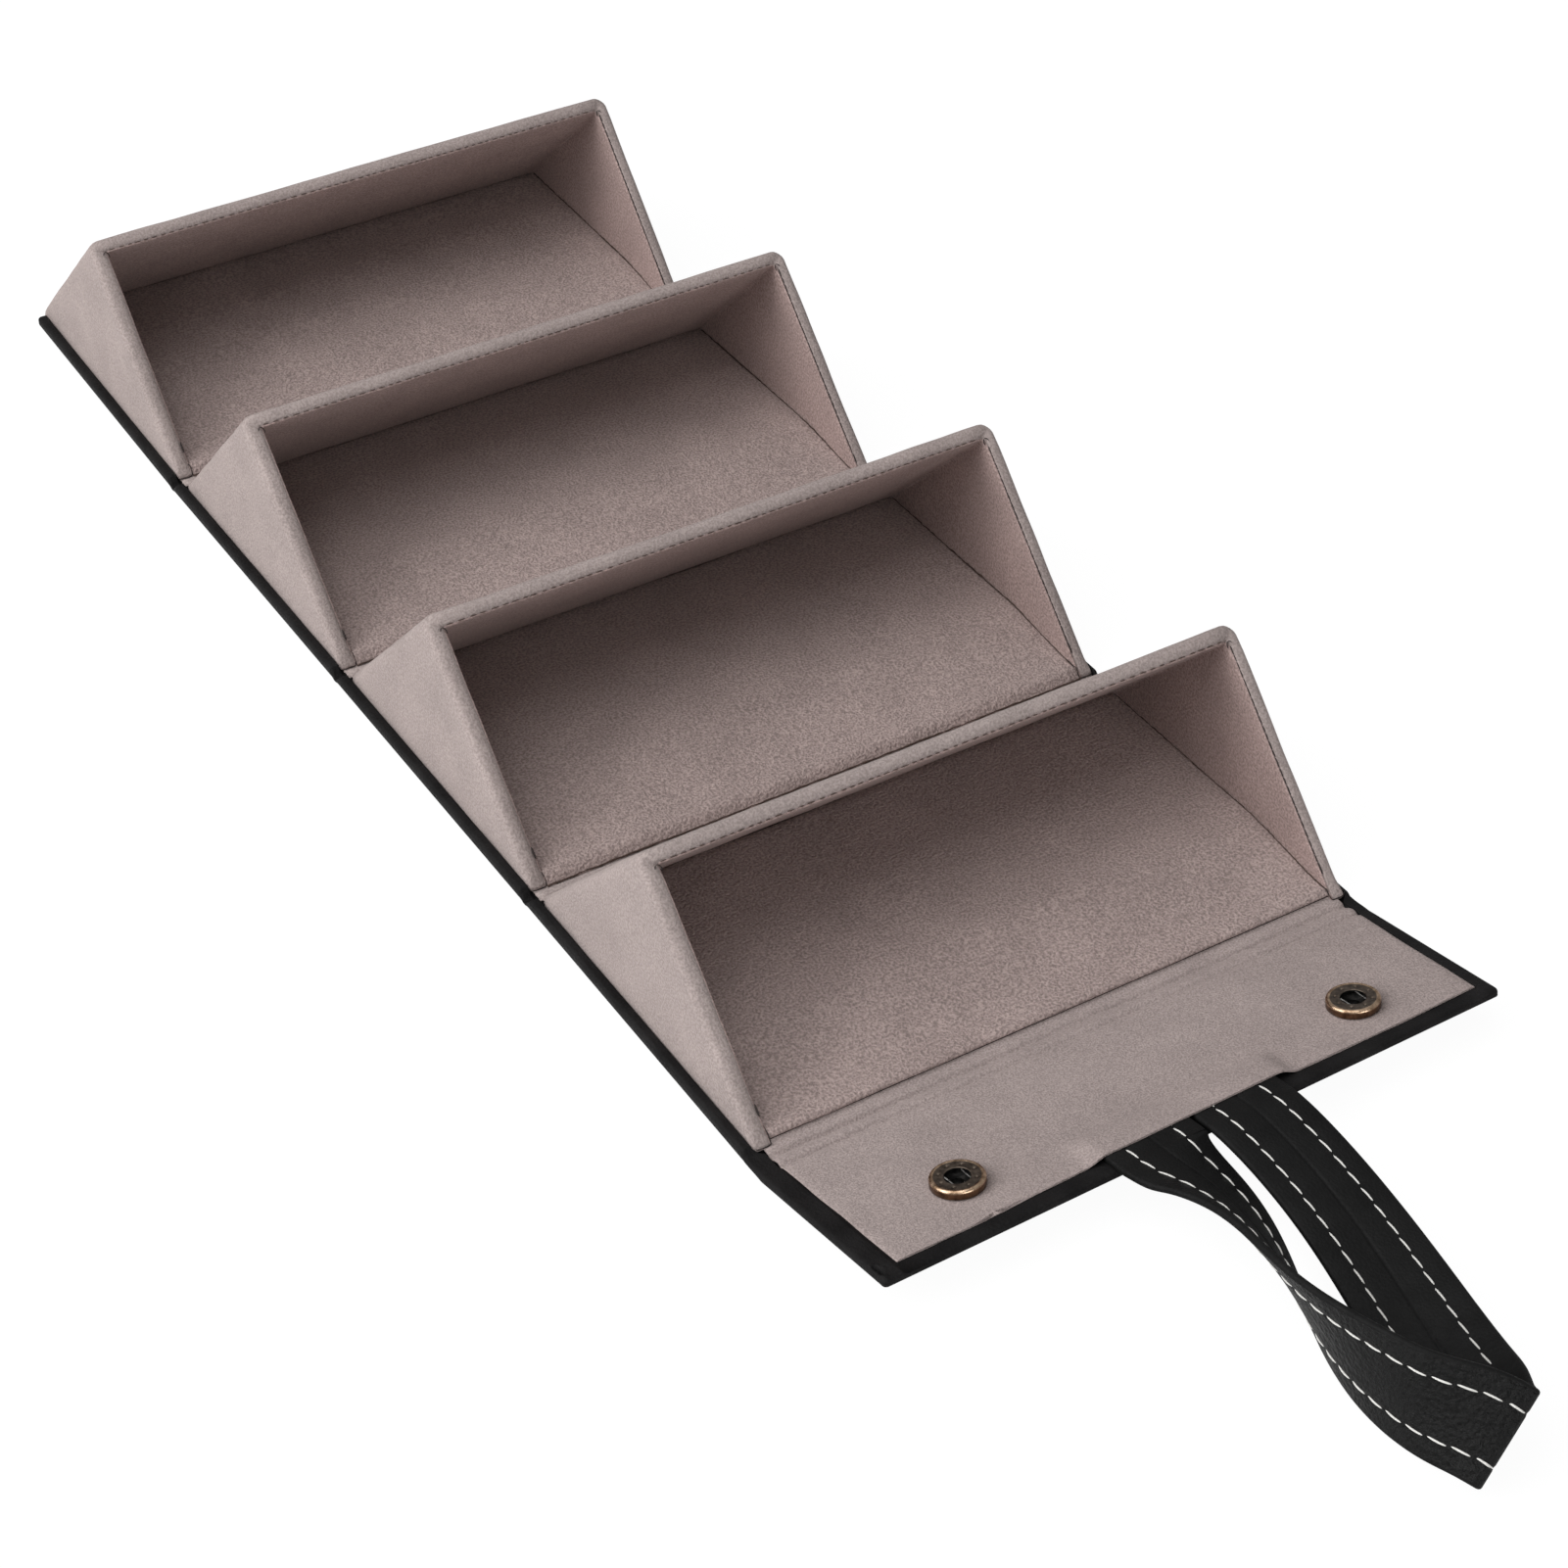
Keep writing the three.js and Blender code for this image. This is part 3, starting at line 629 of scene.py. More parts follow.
def stitch_run(skin, chance, start, end, lengths, gaps, half, tone):
    """Dark stitches along a straight seam, their lengths and gaps uneven."""
    whole = (end - start).length
    direction = (end - start).normalized()
    side = direction.orthogonal().normalized()
    up = direction.cross(side)
    travelled = chance.uniform(*gaps)
    while travelled + lengths[1] < whole:
        stitch = chance.uniform(*lengths)
        places = [start + direction * (travelled + stitch * share) for share in STITCH_SHARES]
        add_stitch(skin, places, side, up, half, half, tone)
        travelled += stitch + chance.uniform(*gaps)


def strayed(chance, reach):
    return chance.uniform(-reach, reach)


def joint_line(skin, chance, side):
    """Dark edge of the floor's velvet along an end wall, uneven, from the nose to the back wall."""
    rows = []
    end = ROOT2 * (RIM_END - WALL) - FLOOR_TOP - JOINT_BACK_GAP
    for back in spaced(JOINT_FRONT, end, JOINT_STEP):
        half = chance.uniform(*JOINT_HALF)
        x = side * (INSIDE_HALF - JOINT_INSET) + strayed(chance, JOINT_WANDER)
        place = Vector((x, back, floor_level(back) - JOINT_SUNK))
        rows.append(thread_ring(place, X_AXIS, Z_AXIS, half, half))
    skin.loft(rows, BROWN)


def tip_line(skin, chance, side, level):
    """Dark line from the floor's nose along an end wall's inside, a dark joint there, and round the wall's
    blunt front end, where it is painted shade in the gap under the end.
    """
    on_floor, on_nose = TIP_LINE_INSETS
    path = [(INSIDE_HALF - on_floor, back, floor_level(back)) for back in TIP_LINE_FLOOR]
    path += [(INSIDE_HALF - on_nose, back, min(NOSE_TOP, back - FRONT_GAP)) for back in TIP_LINE_NOSE]
    path += [(INSIDE_HALF + across, back, level + rise) for across, back, rise in TIP_LINE_INSIDE]
    outside = [(TRAY_HALF + across, back, level + rise) for across, back, rise in TIP_LINE_OUTSIDE]
    start, end = path[-1][0], outside[0][0]
    path += [(lerp(start, end, share), outside[0][1], level) for share in TIP_LINE_FRONT]
    path = [Vector((side * x, back, height)) for x, back, height in path + outside]
    rows = []
    for before, place, after in zip([path[0], *path], path, [*path[1:], path[-1]]):
        half = chance.uniform(*TIP_LINE_HALF)
        along = (after - before).normalized()
        across = along.orthogonal().normalized()
        place = place + Vector([strayed(chance, TIP_LINE_WANDER) for _ in range(3)])
        rows.append(thread_ring(place, across, along.cross(across), half, half))
    skin.loft(rows, DARK)


def nose_line(skin, chance):
    """Dark brown tube along the foot of the floor's nose: painted shade in the crevice between the nose and
    the fold.
    """
    rows = []
    for x in spaced(-INSIDE_HALF, INSIDE_HALF, NOSE_LINE_STEP):
        back, level = [place + strayed(chance, TIP_LINE_WANDER) for place in NOSE_LINE]
        half = chance.uniform(*NOSE_LINE_HALF)
        rows.append(thread_ring(Vector((x, back, level)), Y_AXIS, Z_AXIS, half, half))
    skin.loft(rows, BROWN)


def corner_curl(skin, side, ends, back, depth):
    """Thread drawn into the inner corner of the rim."""
    places = []
    for share in STITCH_SHARES:
        angle = math.radians(lerp(*CURL_TURN, share))
        across = ends + CURL_REACH * CURL_SHAPE[0] * math.cos(angle)
        along = back - CURL_REACH + CURL_REACH * CURL_SHAPE[1] * math.sin(angle)
        places.append(on_rim(side * across, along, depth))
    add_stitch(skin, places, X_AXIS, on_rim(0, 0, -1), CURL_HALF, CURL_HALF)


def tray_threads_and_shade_lines(number):
    """Dark stitches in the seam inside the rim, dark edges where the floor meets the end walls, and dark
    tubes of painted shade at the floor's nose and round the walls' front ends.
    """
    chance = random.Random(number)
    skin = Skin(tray_matrix(number))
    depth = CLOSE_GAP + STITCH_SUNK
    ends = INSIDE_HALF + RIGHT_SEAM[0]
    back = RIM_END - WALL + BACK_SEAM[0]
    front = RIM_START + SEAM_STITCH_MARGIN
    corner = on_rim(ends, back, depth)
    stitch_run(skin, chance, on_rim(ends, front, depth), corner, *END_STITCH)
    stitch_run(skin, chance, on_rim(-ends, back, depth), corner, *BACK_STITCH)
    tip_level = BAND_LEVEL + LAST_TIP_LINE_LIFT
    if number != LAST:
        tip_level = FOLD_VELVET_LEVEL + TIP_LINE_LIFT
        nose_line(skin, chance)
    for side, tick_place in ((-1, INSIDE_HALF + LEFT_SEAM[0]), (1, ends)):
        joint_line(skin, chance, side)
        corner_curl(skin, side, ends, back, depth)
        tip_line(skin, chance, side, tip_level)
        tick = [on_rim(side * tick_place, front - TICK_LENGTH * share, depth) for share in STITCH_SHARES]
        add_stitch(skin, tick, X_AXIS, on_rim(0, 0, -1), TICK_HALF, TICK_HALF)
    stitches = skin.build(f"tray_threads_and_shade_lines_{number}", DARK_THREAD_AND_SHADE, BROWN_THREAD_AND_SHADE)
    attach(stitches, f"tray_{number}")


# Tray floors
NOSE_FALL = 2.9
NOSE_FALL_REACH = (40.0, 5.0)
NOSE_TOP = FLOOR_TOP - NOSE_FALL
NOSE_ROUND = 4.0
LAST_NOSE_ROUND = 1.6
NOSE_LOW = 0.6
NOSE_TIP_ROUND = 0.5
NOSE_COLUMNS = 5
NOSE_BACK = 4.2
NOSE_STEP = 0.5
FLOOR_SIDE_ROUND = 0.5
FLOOR_SIDE_STATIONS = (0, 0.08, 0.22, FLOOR_SIDE_ROUND)
FLOOR_BACK_ROUND = 0.3
FLOOR_BACK_GAP = 0.02
FLOOR_STEP = 3.0
FLOOR_UNDER_STEP = 20
FLOOR_WAVE = (20, 0.25)
FLOOR_SEED = 10


def floor_level(back):
    """Height of the floor's top, which falls towards its nose."""
    return FLOOR_TOP - NOSE_FALL * smooth(*NOSE_FALL_REACH, back)


def floor_outline(number):
    """Loop of (back, height) round the floor pad, from its back along the top and round its nose."""
    low = TRAY_LOW if number == LAST else NOSE_LOW
    nose_round = LAST_NOSE_ROUND if number == LAST else NOSE_ROUND
    nose = (NOSE_TOP + FRONT_GAP + nose_round * HALF_SLOPE, NOSE_TOP - nose_round)
    tip = (low + FRONT_GAP + NOSE_TIP_ROUND / HALF_SLOPE, low + NOSE_TIP_ROUND)
    wall_line = (RIM_END - WALL - FLOOR_BACK_GAP) * ROOT2
    edge = wall_line - FLOOR_TOP
    loop = [(back, floor_level(back)) for back in spaced(edge - FLOOR_BACK_ROUND, nose[0], FLOOR_STEP)]
    loop += arc(nose, nose_round, 90, 135, NOSE_COLUMNS)[1:]
    loop += arc(tip, NOSE_TIP_ROUND, 135, 270, NOSE_COLUMNS)
    loop += [(NOSE_BACK, low), (NOSE_BACK + NOSE_STEP, TRAY_LOW)]
    under = spaced(NOSE_BACK + 2 * NOSE_STEP, wall_line - TRAY_LOW, FLOOR_UNDER_STEP)
    loop += [(back, TRAY_LOW) for back in under]
    loop.append((edge, FLOOR_TOP - FLOOR_BACK_ROUND / 2))
    return loop


def make_floor(number):
    outline = floor_outline(number)
    height = FLOOR_TOP - NOSE_LOW
    rows = []
    for x in edged(FLOOR_HALF, FLOOR_SIDE_STATIONS, FLOOR_STEP):
        reach = max(0.0, FLOOR_SIDE_ROUND - (FLOOR_HALF - abs(x)))
        drop = FLOOR_SIDE_ROUND - math.sqrt(FLOOR_SIDE_ROUND**2 - reach**2)
        rows.append([(x, back, level - drop * (level - NOSE_LOW) / height) for back, level in outline])
    # The floor takes the warmer velvet of painted warm shade.
    floor = lofted(f"velvet_floor_{number}", tray_matrix(number), rows, FLOOR_VELVET_PAINTED_WARM_SHADE)
    soften(floor, *FLOOR_WAVE, FLOOR_SEED + number)
    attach(floor, f"tray_{number}")
    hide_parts(f"floor_pad_{number}", f"tray_floor_{number}")


# Leather cover, made as one sheet from the first tray to the flap, and cut in the middle of the trays
LEFT_HEM_PROUD = 0.6
RIGHT_HEM_SHORT = 1.7
BACK_END_SHORT = 5.3
COVER_LEFT = cover_box.high.x + LEFT_HEM_PROUD
COVER_RIGHT = cover_box.high.x - RIGHT_HEM_SHORT
COVER_END = first_cover_box.high.y - BACK_END_SHORT
HEM_GAP = 0.2
LEFT_HEM_LINE = TRAY_HALF * LEFT_SWELL + HEM_GAP
HemSide = namedtuple("HemSide", "half inner outer_round inner_round")
LEFT_SIDE = HemSide(COVER_LEFT, LEFT_HEM_LINE, 1.0, 0.35)
RIGHT_SIDE = HemSide(COVER_RIGHT, TRAY_HALF + HEM_GAP, 0.5, 0.2)
RIGHT_HEM_TOP = 2.05
HEM_LEAST = 0.02
ROUND_LIMIT = 0.48
CLOSING_SLOPE = 0.97
BOARD_COVERED = 0.05
SLAB_TOP = board_box.high.z + BOARD_COVERED
SLAB_RISE = (COVER_FRONT - 1.1, COVER_FRONT - 0.1)
BEND_HALF = 3.0
FOLD_REACH = 5.0
FOLD_STEP = 0.5
COVER_STEP = 7.0
STATION_GAP = 0.2
END_LOOP = 0.05
HEM_COLUMNS = 8
EDGE_COLUMNS = 4
INSIDE_COLUMNS = 2
COVER_COLUMNS = 26


def hem_points(side, hem, top, trim, low, hem_line):
    """Points up the outside of a hem, over it and down its inside, for one side of the cover."""
    edge = min(side.outer_round, ROUND_LIMIT * (hem - low))
    inside = min(side.inner_round, ROUND_LIMIT * (hem - top))
    outer_line = side.half - trim - edge
    inner_line = (hem_line or side.inner) - trim
    points = arc((outer_line, low + edge), edge, -90, 0, EDGE_COLUMNS)
    points += arc((outer_line, hem - edge), edge, 0, 90, EDGE_COLUMNS)
    points += [(lerp(outer_line, inner_line + inside, share), hem) for share in shares(HEM_COLUMNS)[1:-1]]
    points += arc((inner_line + inside, hem - inside), inside, 90, 180, INSIDE_COLUMNS)
    points.append((inner_line, top))
    return points


def cover_section(along, hem, top, trim=0.0, low=-SKIN, hem_line=None):
    """Loop round one cut through the cover: under it, up its right hem, over it and down its left hem."""
    hem = max(hem, top + HEM_LEAST)
    right = hem_points(RIGHT_SIDE, min(hem, RIGHT_HEM_TOP), top, trim, low, hem_line)
    left = [(-x, level) for x, level in reversed(hem_points(LEFT_SIDE, hem, top, trim, low, hem_line))]
    between = shares(COVER_COLUMNS)[1:-1]
    under = [(lerp(left[-1][0], right[0][0], share), low) for share in between]
    over = [(lerp(right[-1][0], left[0][0], share), top) for share in between]
    return [(x, along, level) for x, level in under + right + over + left]


def fold_hem(distance):
    """Height of the hem near a fold, low enough to close by a right angle."""
    return max(SKIN, min(HEM_TOP, CLOSING_SLOPE * distance))


def fold_top(distance):
    return lerp(SKIN, SLAB_TOP, smooth(*SLAB_RISE, distance))


def turned_about(point, pivot, angle):
    """A point turned about an axis along X."""
    x, back, level = point
    arm = Matrix.Rotation(angle, 2) @ Vector((back - pivot, level))
    return (x, pivot + arm.x, arm.y)


def laid(row, along, number):
    """A row across a fold as it lies at rest, where the first tray is tilted."""
    angle = FIRST_TILT * smooth(-BEND_HALF, BEND_HALF, along)
    return [turned_about(point, 0, angle) for point in row] if number == 1 else row


def fold_stations(start, end, folds):
    """Places along the cover, close together near each fold, and at both ends so that no seam shows."""
    places = {start, end}
    places.update(spaced(start, end, COVER_STEP))
    for fold in folds:
        places.update(spaced(fold - FOLD_REACH, fold + FOLD_REACH, FOLD_STEP))
    kept = []
    for place in sorted(place for place in places if start <= place <= end):
        if not kept or place - kept[-1] > STATION_GAP:
            kept.append(place)
    return [start, start + END_LOOP, *kept[1:-1], end - END_LOOP, end]


def bend_blend(piece):
    """Bakes the piece's placing into its points."""
    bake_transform(piece)


def make_fold(number):
    """Cover from the middle of the next tray, through the fold, to the middle of this one."""
    rows = []
    for along in fold_stations(-PITCH / 2, PITCH / 2, [0]):
        section = cover_section(along, fold_hem(abs(along)), fold_top(abs(along)))
        rows.append(laid(section, along, number))
    cover = lofted(f"leather_cover_{number}", fold_matrix(number), rows, LEATHER)
    bend_blend(cover)
    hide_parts(f"cover_leather_{number}", f"fold_hinge_{number}", f"cover_board_{number}")


FOLD_VELVET_REACH = 5.2
FOLD_VELVET_STEP = 0.25
FOLD_VELVET_THICK = 0.2
FOLD_VELVET_BULGE = 0.4
FOLD_VELVET_RISES = ((-1.6, -0.7), (2.6, 1.7))
FOLD_VELVET_CREASE = 0.3
FOLD_CREASE_PLACE = 1.5
FOLD_CREASE_HALF = 0.35
FOLD_VELVET_HALF = TRAY_HALF - 0.4
FOLD_VELVET_RAGGED = 0.3
FOLD_VELVET_COLUMNS = 60
FOLD_VELVET_LEVEL = SKIN + FOLD_VELVET_THICK + FOLD_VELVET_BULGE
GLUE = 0.03


def fold_velvet_top(along):
    """Height of the velvet in a fold: thin under the trays, fuller between them, creased before the nose."""
    front, back = FOLD_VELVET_RISES
    bulge = FOLD_VELVET_BULGE * smooth(*front, along) * smooth(*back, along)
    bulge -= FOLD_VELVET_CREASE * dent(along, FOLD_CREASE_PLACE, FOLD_CREASE_HALF)
    return fold_top(abs(along)) + FOLD_VELVET_THICK + max(bulge, 0)


def make_fold_velvet(number):
    """Strip of velvet that lines the fold between two trays and reaches under both."""
    columns = [lerp(-1, 1, share) for share in shares(FOLD_VELVET_COLUMNS)]
    rows = []
    for along in spaced(-FOLD_VELVET_REACH, FOLD_VELVET_REACH, FOLD_VELVET_STEP):
        half = FOLD_VELVET_HALF + wave(along, (FOLD_VELVET_RAGGED, 1, number))
        over = [(column * half, along, fold_velvet_top(along)) for column in columns]
        under = [(x, along, fold_top(abs(along)) + GLUE) for x, _, _ in reversed(over)]
        rows.append(laid(over + under, along, number))
    strip = lofted(f"fold_velvet_{number}", fold_matrix(number), rows, VELVET)
    bend_blend(strip)


# Rounded ends of the leather: distances from the end, and the share of its height that is there
END_STATIONS = (0.0, 0.1, 0.35, 0.8, 1.3)
END_SHARES = [math.sqrt(1 - (1 - gap / END_STATIONS[-1]) ** 2) for gap in END_STATIONS]
END_MARGIN = END_STATIONS[-1] + 0.5
BACK_CORNER_ROUND = 1.2
BACK_END_HEIGHT = 0.35


def end_round(section, share, middle):
    """Draws a section in towards its middle height, for a rounded edge."""
    return [(x, along, lerp(middle, level, share)) for x, along, level in section]


def make_back_end():
    """Cover from the middle of the first tray to its back edge."""
    plain = spaced(PITCH / 2, COVER_END - END_MARGIN, COVER_STEP)
    plain.insert(1, plain[0] + END_LOOP)
    rows = [cover_section(along, HEM_TOP, SLAB_TOP) for along in plain]
    for gap, share in zip(reversed(END_STATIONS), reversed(END_SHARES)):
        section = cover_section(COVER_END - gap, HEM_TOP, SLAB_TOP, BACK_CORNER_ROUND * (1 - share))
        rows.append(end_round(section, lerp(BACK_END_HEIGHT, 1.0, share), (SLAB_TOP - SKIN) / 2))
    cover = lofted("leather_cover_back", tray_matrix(1), rows, LEATHER)
    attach(cover, "tray_1")


# Flap. Places are measured back from the closing corner of the last tray; its fold is at minus its offset.
FLAP_TOP = 2.0
FLAP_FRONT = -FLAP_OFFSET - FLAP_REACH
FLAP_CORNER_ROUND = 1.0
FLAP_END_HEIGHT = 0.3
FLAP_BEND_HALF = 1.5
FLAP_FINE = 10.0
FLAP_RISE = (-0.9, 0.3)
HINGE_HEM = 1.35
HINGE_HEM_REACH = 3.0
# How far the front corners, left and right, lie across and along from where a square flap would have them
LEATHER_SKEW = ((1.0, -2.2), (0.3, 0.9))
LINING_SKEW = ((1.9, -3.0), (-0.4, 0.4))
# The pleat in the border beside the left front corner, with its sizes outward and back
PLEAT_PLACE = (1.5, 4.3)
PLEAT_HALF = (0.8, 2.2)
PLEAT_BOW = 0.3
PLEAT_ENDS = 2
PLEAT_DEPTH = 1.9
PLEAT_EDGE = (1.0, 0.7)
PLEAT_LIP = 0.3
PLEAT_LIP_PLACE = 1.25
PLEAT_LIP_HALF = 0.3


def flap_levels(along):
    """Heights of the hem and of the top of the cover, from the last tray through the fold to the flap."""
    if along > 0:
        return max(fold_hem(along), HINGE_HEM), fold_top(along)
    level = lerp(SKIN, FLAP_TOP, smooth(*FLAP_RISE, -along - FLAP_OFFSET))
    return lerp(HINGE_HEM, FLAP_TOP, smooth(0, -FLAP_OFFSET, along)), level


def hinge_hem_line(along):
    """Where the hem's inside lies, from the last tray's wall to the lining's edge, or None further back."""
    if along >= HINGE_HEM_REACH:
        return None
    return lerp(LEFT_HEM_LINE, LINING_HALF, smooth(HINGE_HEM_REACH, 0.0, along))


def skewed(point, skew):
    """A point of the square flap, moved with the corners of the one in the photo."""
    x, along, level = point
    forward = min(max((-FLAP_OFFSET - along) / FLAP_REACH, 0.0), 1.0)
    share = (x / TRAY_HALF + 1) / 2
    across, ahead = [forward * lerp(left, right, share) for left, right in zip(*skew)]
    return (x + across, along + ahead, level)


def pleated(point):
    """A point of the flap's border, sunk in the pleat beside the left front corner or lifted on its lip."""
    x, along, level = point
    outward = (COVER_LEFT + x - PLEAT_PLACE[0]) / PLEAT_HALF[0]
    back = (along - FLAP_FRONT - PLEAT_PLACE[1]) / PLEAT_HALF[1]
    if level < FLAP_TOP / 2 or abs(back) > PLEAT_ENDS:
        return point
    reach = math.hypot(outward + PLEAT_BOW * back * back, back)
    sink = PLEAT_DEPTH * smooth(*PLEAT_EDGE, reach)
    sink -= PLEAT_LIP * dent(reach, PLEAT_LIP_PLACE, PLEAT_LIP_HALF)
    return (x, along, level - sink)


def tilted(point):
    """A point of the flat strip, moved to where the flap's fold lifts it at rest."""
    angle = -FLAP_TILT * smooth(-FLAP_OFFSET + FLAP_BEND_HALF, -FLAP_OFFSET - FLAP_BEND_HALF, point[1])
    return turned_about(point, -FLAP_OFFSET, angle)


def make_flap_cover():
    rows = []
    for gap, share in zip(END_STATIONS, END_SHARES):
        trim = FLAP_CORNER_ROUND * (1 - share)
        section = cover_section(FLAP_FRONT + gap, FLAP_TOP, FLAP_TOP - HEM_LEAST, trim, hem_line=LINING_HALF)
        rows.append(end_round(section, lerp(FLAP_END_HEIGHT, 1.0, share), (FLAP_TOP - SKIN) / 2))
    front = FLAP_FRONT + END_MARGIN
    fine = front + FLAP_FINE
    for along in spaced(front, fine, FOLD_STEP)[:-1] + fold_stations(fine, PITCH / 2, [0, -FLAP_OFFSET]):
        rows.append(cover_section(along, *flap_levels(along), hem_line=hinge_hem_line(along)))
    rows = [[tilted(skewed(pleated(point), LEATHER_SKEW)) for point in row] for row in rows]
    cover = lofted("leather_flap", fold_matrix(LAST), rows, LEATHER)
    bend_blend(cover)
    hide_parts("cover_leather_4", "cover_board_4", "flap_hinge", "flap_leather", "flap_board")


# Lining of the flap, one piece of velvet from under the last tray's nose to the front of the flap
LINING_THICK = 0.5
LINING_LEVEL = FLAP_TOP + LINING_THICK
LINING_EDGE_HALF = LINING_HALF - 0.4
LINING_FRONT = -FLAP_OFFSET - LINING_REACH
LINING_BACK = 5.0
LINING_RISE = (-1.6, -4.6)
BAND_LEVEL = 1.5
NOSE_RISE = 0.6
NOSE_RISE_REACH = (2.0, 4.4)
# The creases, and the waves that bend and deepen them
CREASE_PLACE = -1.2
CREASE_DEPTH = 0.8
CREASE_HALF = 0.8
FAINT_CREASE_PLACE = -6.2
FAINT_CREASE_DEPTH = 0.6
FAINT_CREASE_HALF = 0.9
CREASE_WANDER = (0.4, 22, 1.5)
CREASE_SHARE = 0.9
CREASE_CHANGE = (0.25, 16, 4.5)
TAB_HALF = STRAP_WIDTH + STRAP_GAP / 2
TAB_BACK = FLAP_FRONT + STRAP_TAB
TAB_RISE = TAB_TOP - FLAP_TOP + 0.05
TAB_SLOPE = (6.0, 0.3)
# The front edge, with its waves, its notch and the step beside it
FRONT_WAVES = ((0.45, 30, 7.5), (0.2, 8, 2.5))
FRONT_WAVE_REACH = 9.0
NOTCH_PLACE = -60.0
NOTCH_DEPTH = 1.2
NOTCH_HALF = 1.1
STEP_DEPTH = 0.7
STEP_START = (NOTCH_PLACE - 1, NOTCH_PLACE + 9)
STEP_END = (-28, -34)
SIDE_WAVE = (0.35, 14, 9.5)
SIDE_WAVE_LINE = 3
EDGE_DROP = 0.25
LINING_EDGE_STATIONS = (0.0, 0.3, 0.8)
LINING_SIDE_STEP = 1.6
LINING_FIRST = 1.6
LINING_STEP_ALONG = 1.8
LINING_FINE_STEP = 0.35
LINING_FINE_FROM = (4.0, 3.6)


def lining_top(x, along):
    level = lerp(BAND_LEVEL, LINING_LEVEL, smooth(*LINING_RISE, along))
    level += NOSE_RISE * smooth(*NOSE_RISE_REACH, along)
    wander = wave(x, CREASE_WANDER)
    depth = CREASE_SHARE + wave(x, CREASE_CHANGE)
    level -= CREASE_DEPTH * depth * dent(along, CREASE_PLACE + wander, CREASE_HALF)
    level -= FAINT_CREASE_DEPTH * depth * dent(along, FAINT_CREASE_PLACE - wander, FAINT_CREASE_HALF)
    far, near = TAB_SLOPE
    beside = smooth(TAB_HALF + far, TAB_HALF + near, abs(x - STRAP_MIDDLE))
    return level + TAB_RISE * beside * smooth(TAB_BACK + far, TAB_BACK + near, along)


def lining_front(x):
    """How far the front edge wanders from a straight line, backwards where it is above 0."""
    notch = NOTCH_DEPTH * dent(x, NOTCH_PLACE, NOTCH_HALF)
    step = STEP_DEPTH * smooth(*STEP_START, x) * smooth(*STEP_END, x)
    return sum(wave(x, shape) for shape in FRONT_WAVES) + notch + step


def lining_point(share, along, under):
    x = share * (LINING_EDGE_HALF + wave(along, SIDE_WAVE, math.copysign(SIDE_WAVE_LINE, share)))
    place = along + lining_front(x) * smooth(LINING_FRONT + FRONT_WAVE_REACH, LINING_FRONT, along)
    from_edge = LINING_EDGE_HALF * (1 - abs(share))
    level = lining_top(x, along) - EDGE_DROP * smooth(LINING_EDGE_STATIONS[-1], 0, from_edge)
    if under:
        level = max(level - LINING_THICK, SKIN + GLUE)
    return tilted(skewed((x, place, level), LINING_SKEW))


def make_lining():
    across = edged(LINING_EDGE_HALF, LINING_EDGE_STATIONS, LINING_SIDE_STEP)
    columns = [x / LINING_EDGE_HALF for x in across]
    coarse_end, fine_start = [-FLAP_OFFSET - gap for gap in LINING_FINE_FROM]
    places = [LINING_FRONT + station for station in LINING_EDGE_STATIONS]
    places += spaced(LINING_FRONT + LINING_FIRST, coarse_end, LINING_STEP_ALONG)
    places += spaced(fine_start, LINING_BACK, LINING_FINE_STEP)
    rows = []
    for along in places:
        over = [lining_point(column, along, False) for column in columns]
        under = [lining_point(column, along, True) for column in reversed(columns)]
        rows.append(over + under)
    lining = lofted("flap_velvet", fold_matrix(LAST), rows, LINING_VELVET)
    bend_blend(lining)
    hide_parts("flap_lining", "flap_hinge_lining")


# Snaps
TURN_STEPS = 144
AXIS_RADIUS = 0.02
SHEET = 0.4
BEVEL = 0.15
SMALL_STEP = 0.1
POST_HOLE = 1.7
POST_GAP = 0.3
SOCKET_MOUTH = 3.2
SOCKET_POCKET = 4.9
SOCKET_SHOULDER = 0.75
SHOULDER_ROWS = 8
SOCKET_LIP = 0.3
LIP_ROWS = 5
LIP_ROWS_ABOVE_SHADE = 3
FACE_DROP = 0.12
FACE_STEP = 0.22
FACE_START = 0.35
DIMPLE_TURN = math.radians(45)
DIMPLE_PLACE = 4.65
DIMPLE_HALF = 0.42
DIMPLE_DEPTH = 0.3
CAP_GAP = 0.2
CAP_ROWS = 16
STUD_HEAD = 2.5
STUD_NECK = 1.9
STUD_NECK_FLARE = 0.2
STUD_TIP = 2.0
STUD_HEAD_HEIGHT = 0.75
STUD_HEAD_ROWS = 8


def dimple(radius, angle):
    """Depth of the dimples in a socket's face at one place."""
    from_dimple = (angle + DIMPLE_TURN / 2) % DIMPLE_TURN - DIMPLE_TURN / 2
    place = (radius * math.cos(from_dimple), radius * math.sin(from_dimple))
    return DIMPLE_DEPTH * dent(math.dist(place, (DIMPLE_PLACE, 0)), 0, DIMPLE_HALF)


def turned_piece(name, matrix, profile, *materials, finish=0, ring=False, dimpled=None):
    """A profile of (radius, height) turned about its axis, with dimples where a height is the dimpled one."""
    angles = [2 * math.pi * i / TURN_STEPS for i in range(TURN_STEPS)]
    rows = []
    for radius, level in profile:
        row = []
        for angle in angles:
            drop = dimple(radius, angle) if level == dimpled else 0.0
            row.append((radius * math.cos(angle), radius * math.sin(angle), level - drop))
        rows.append(row)
    return lofted(name, matrix, rows, *materials, finish=finish, ring=ring)


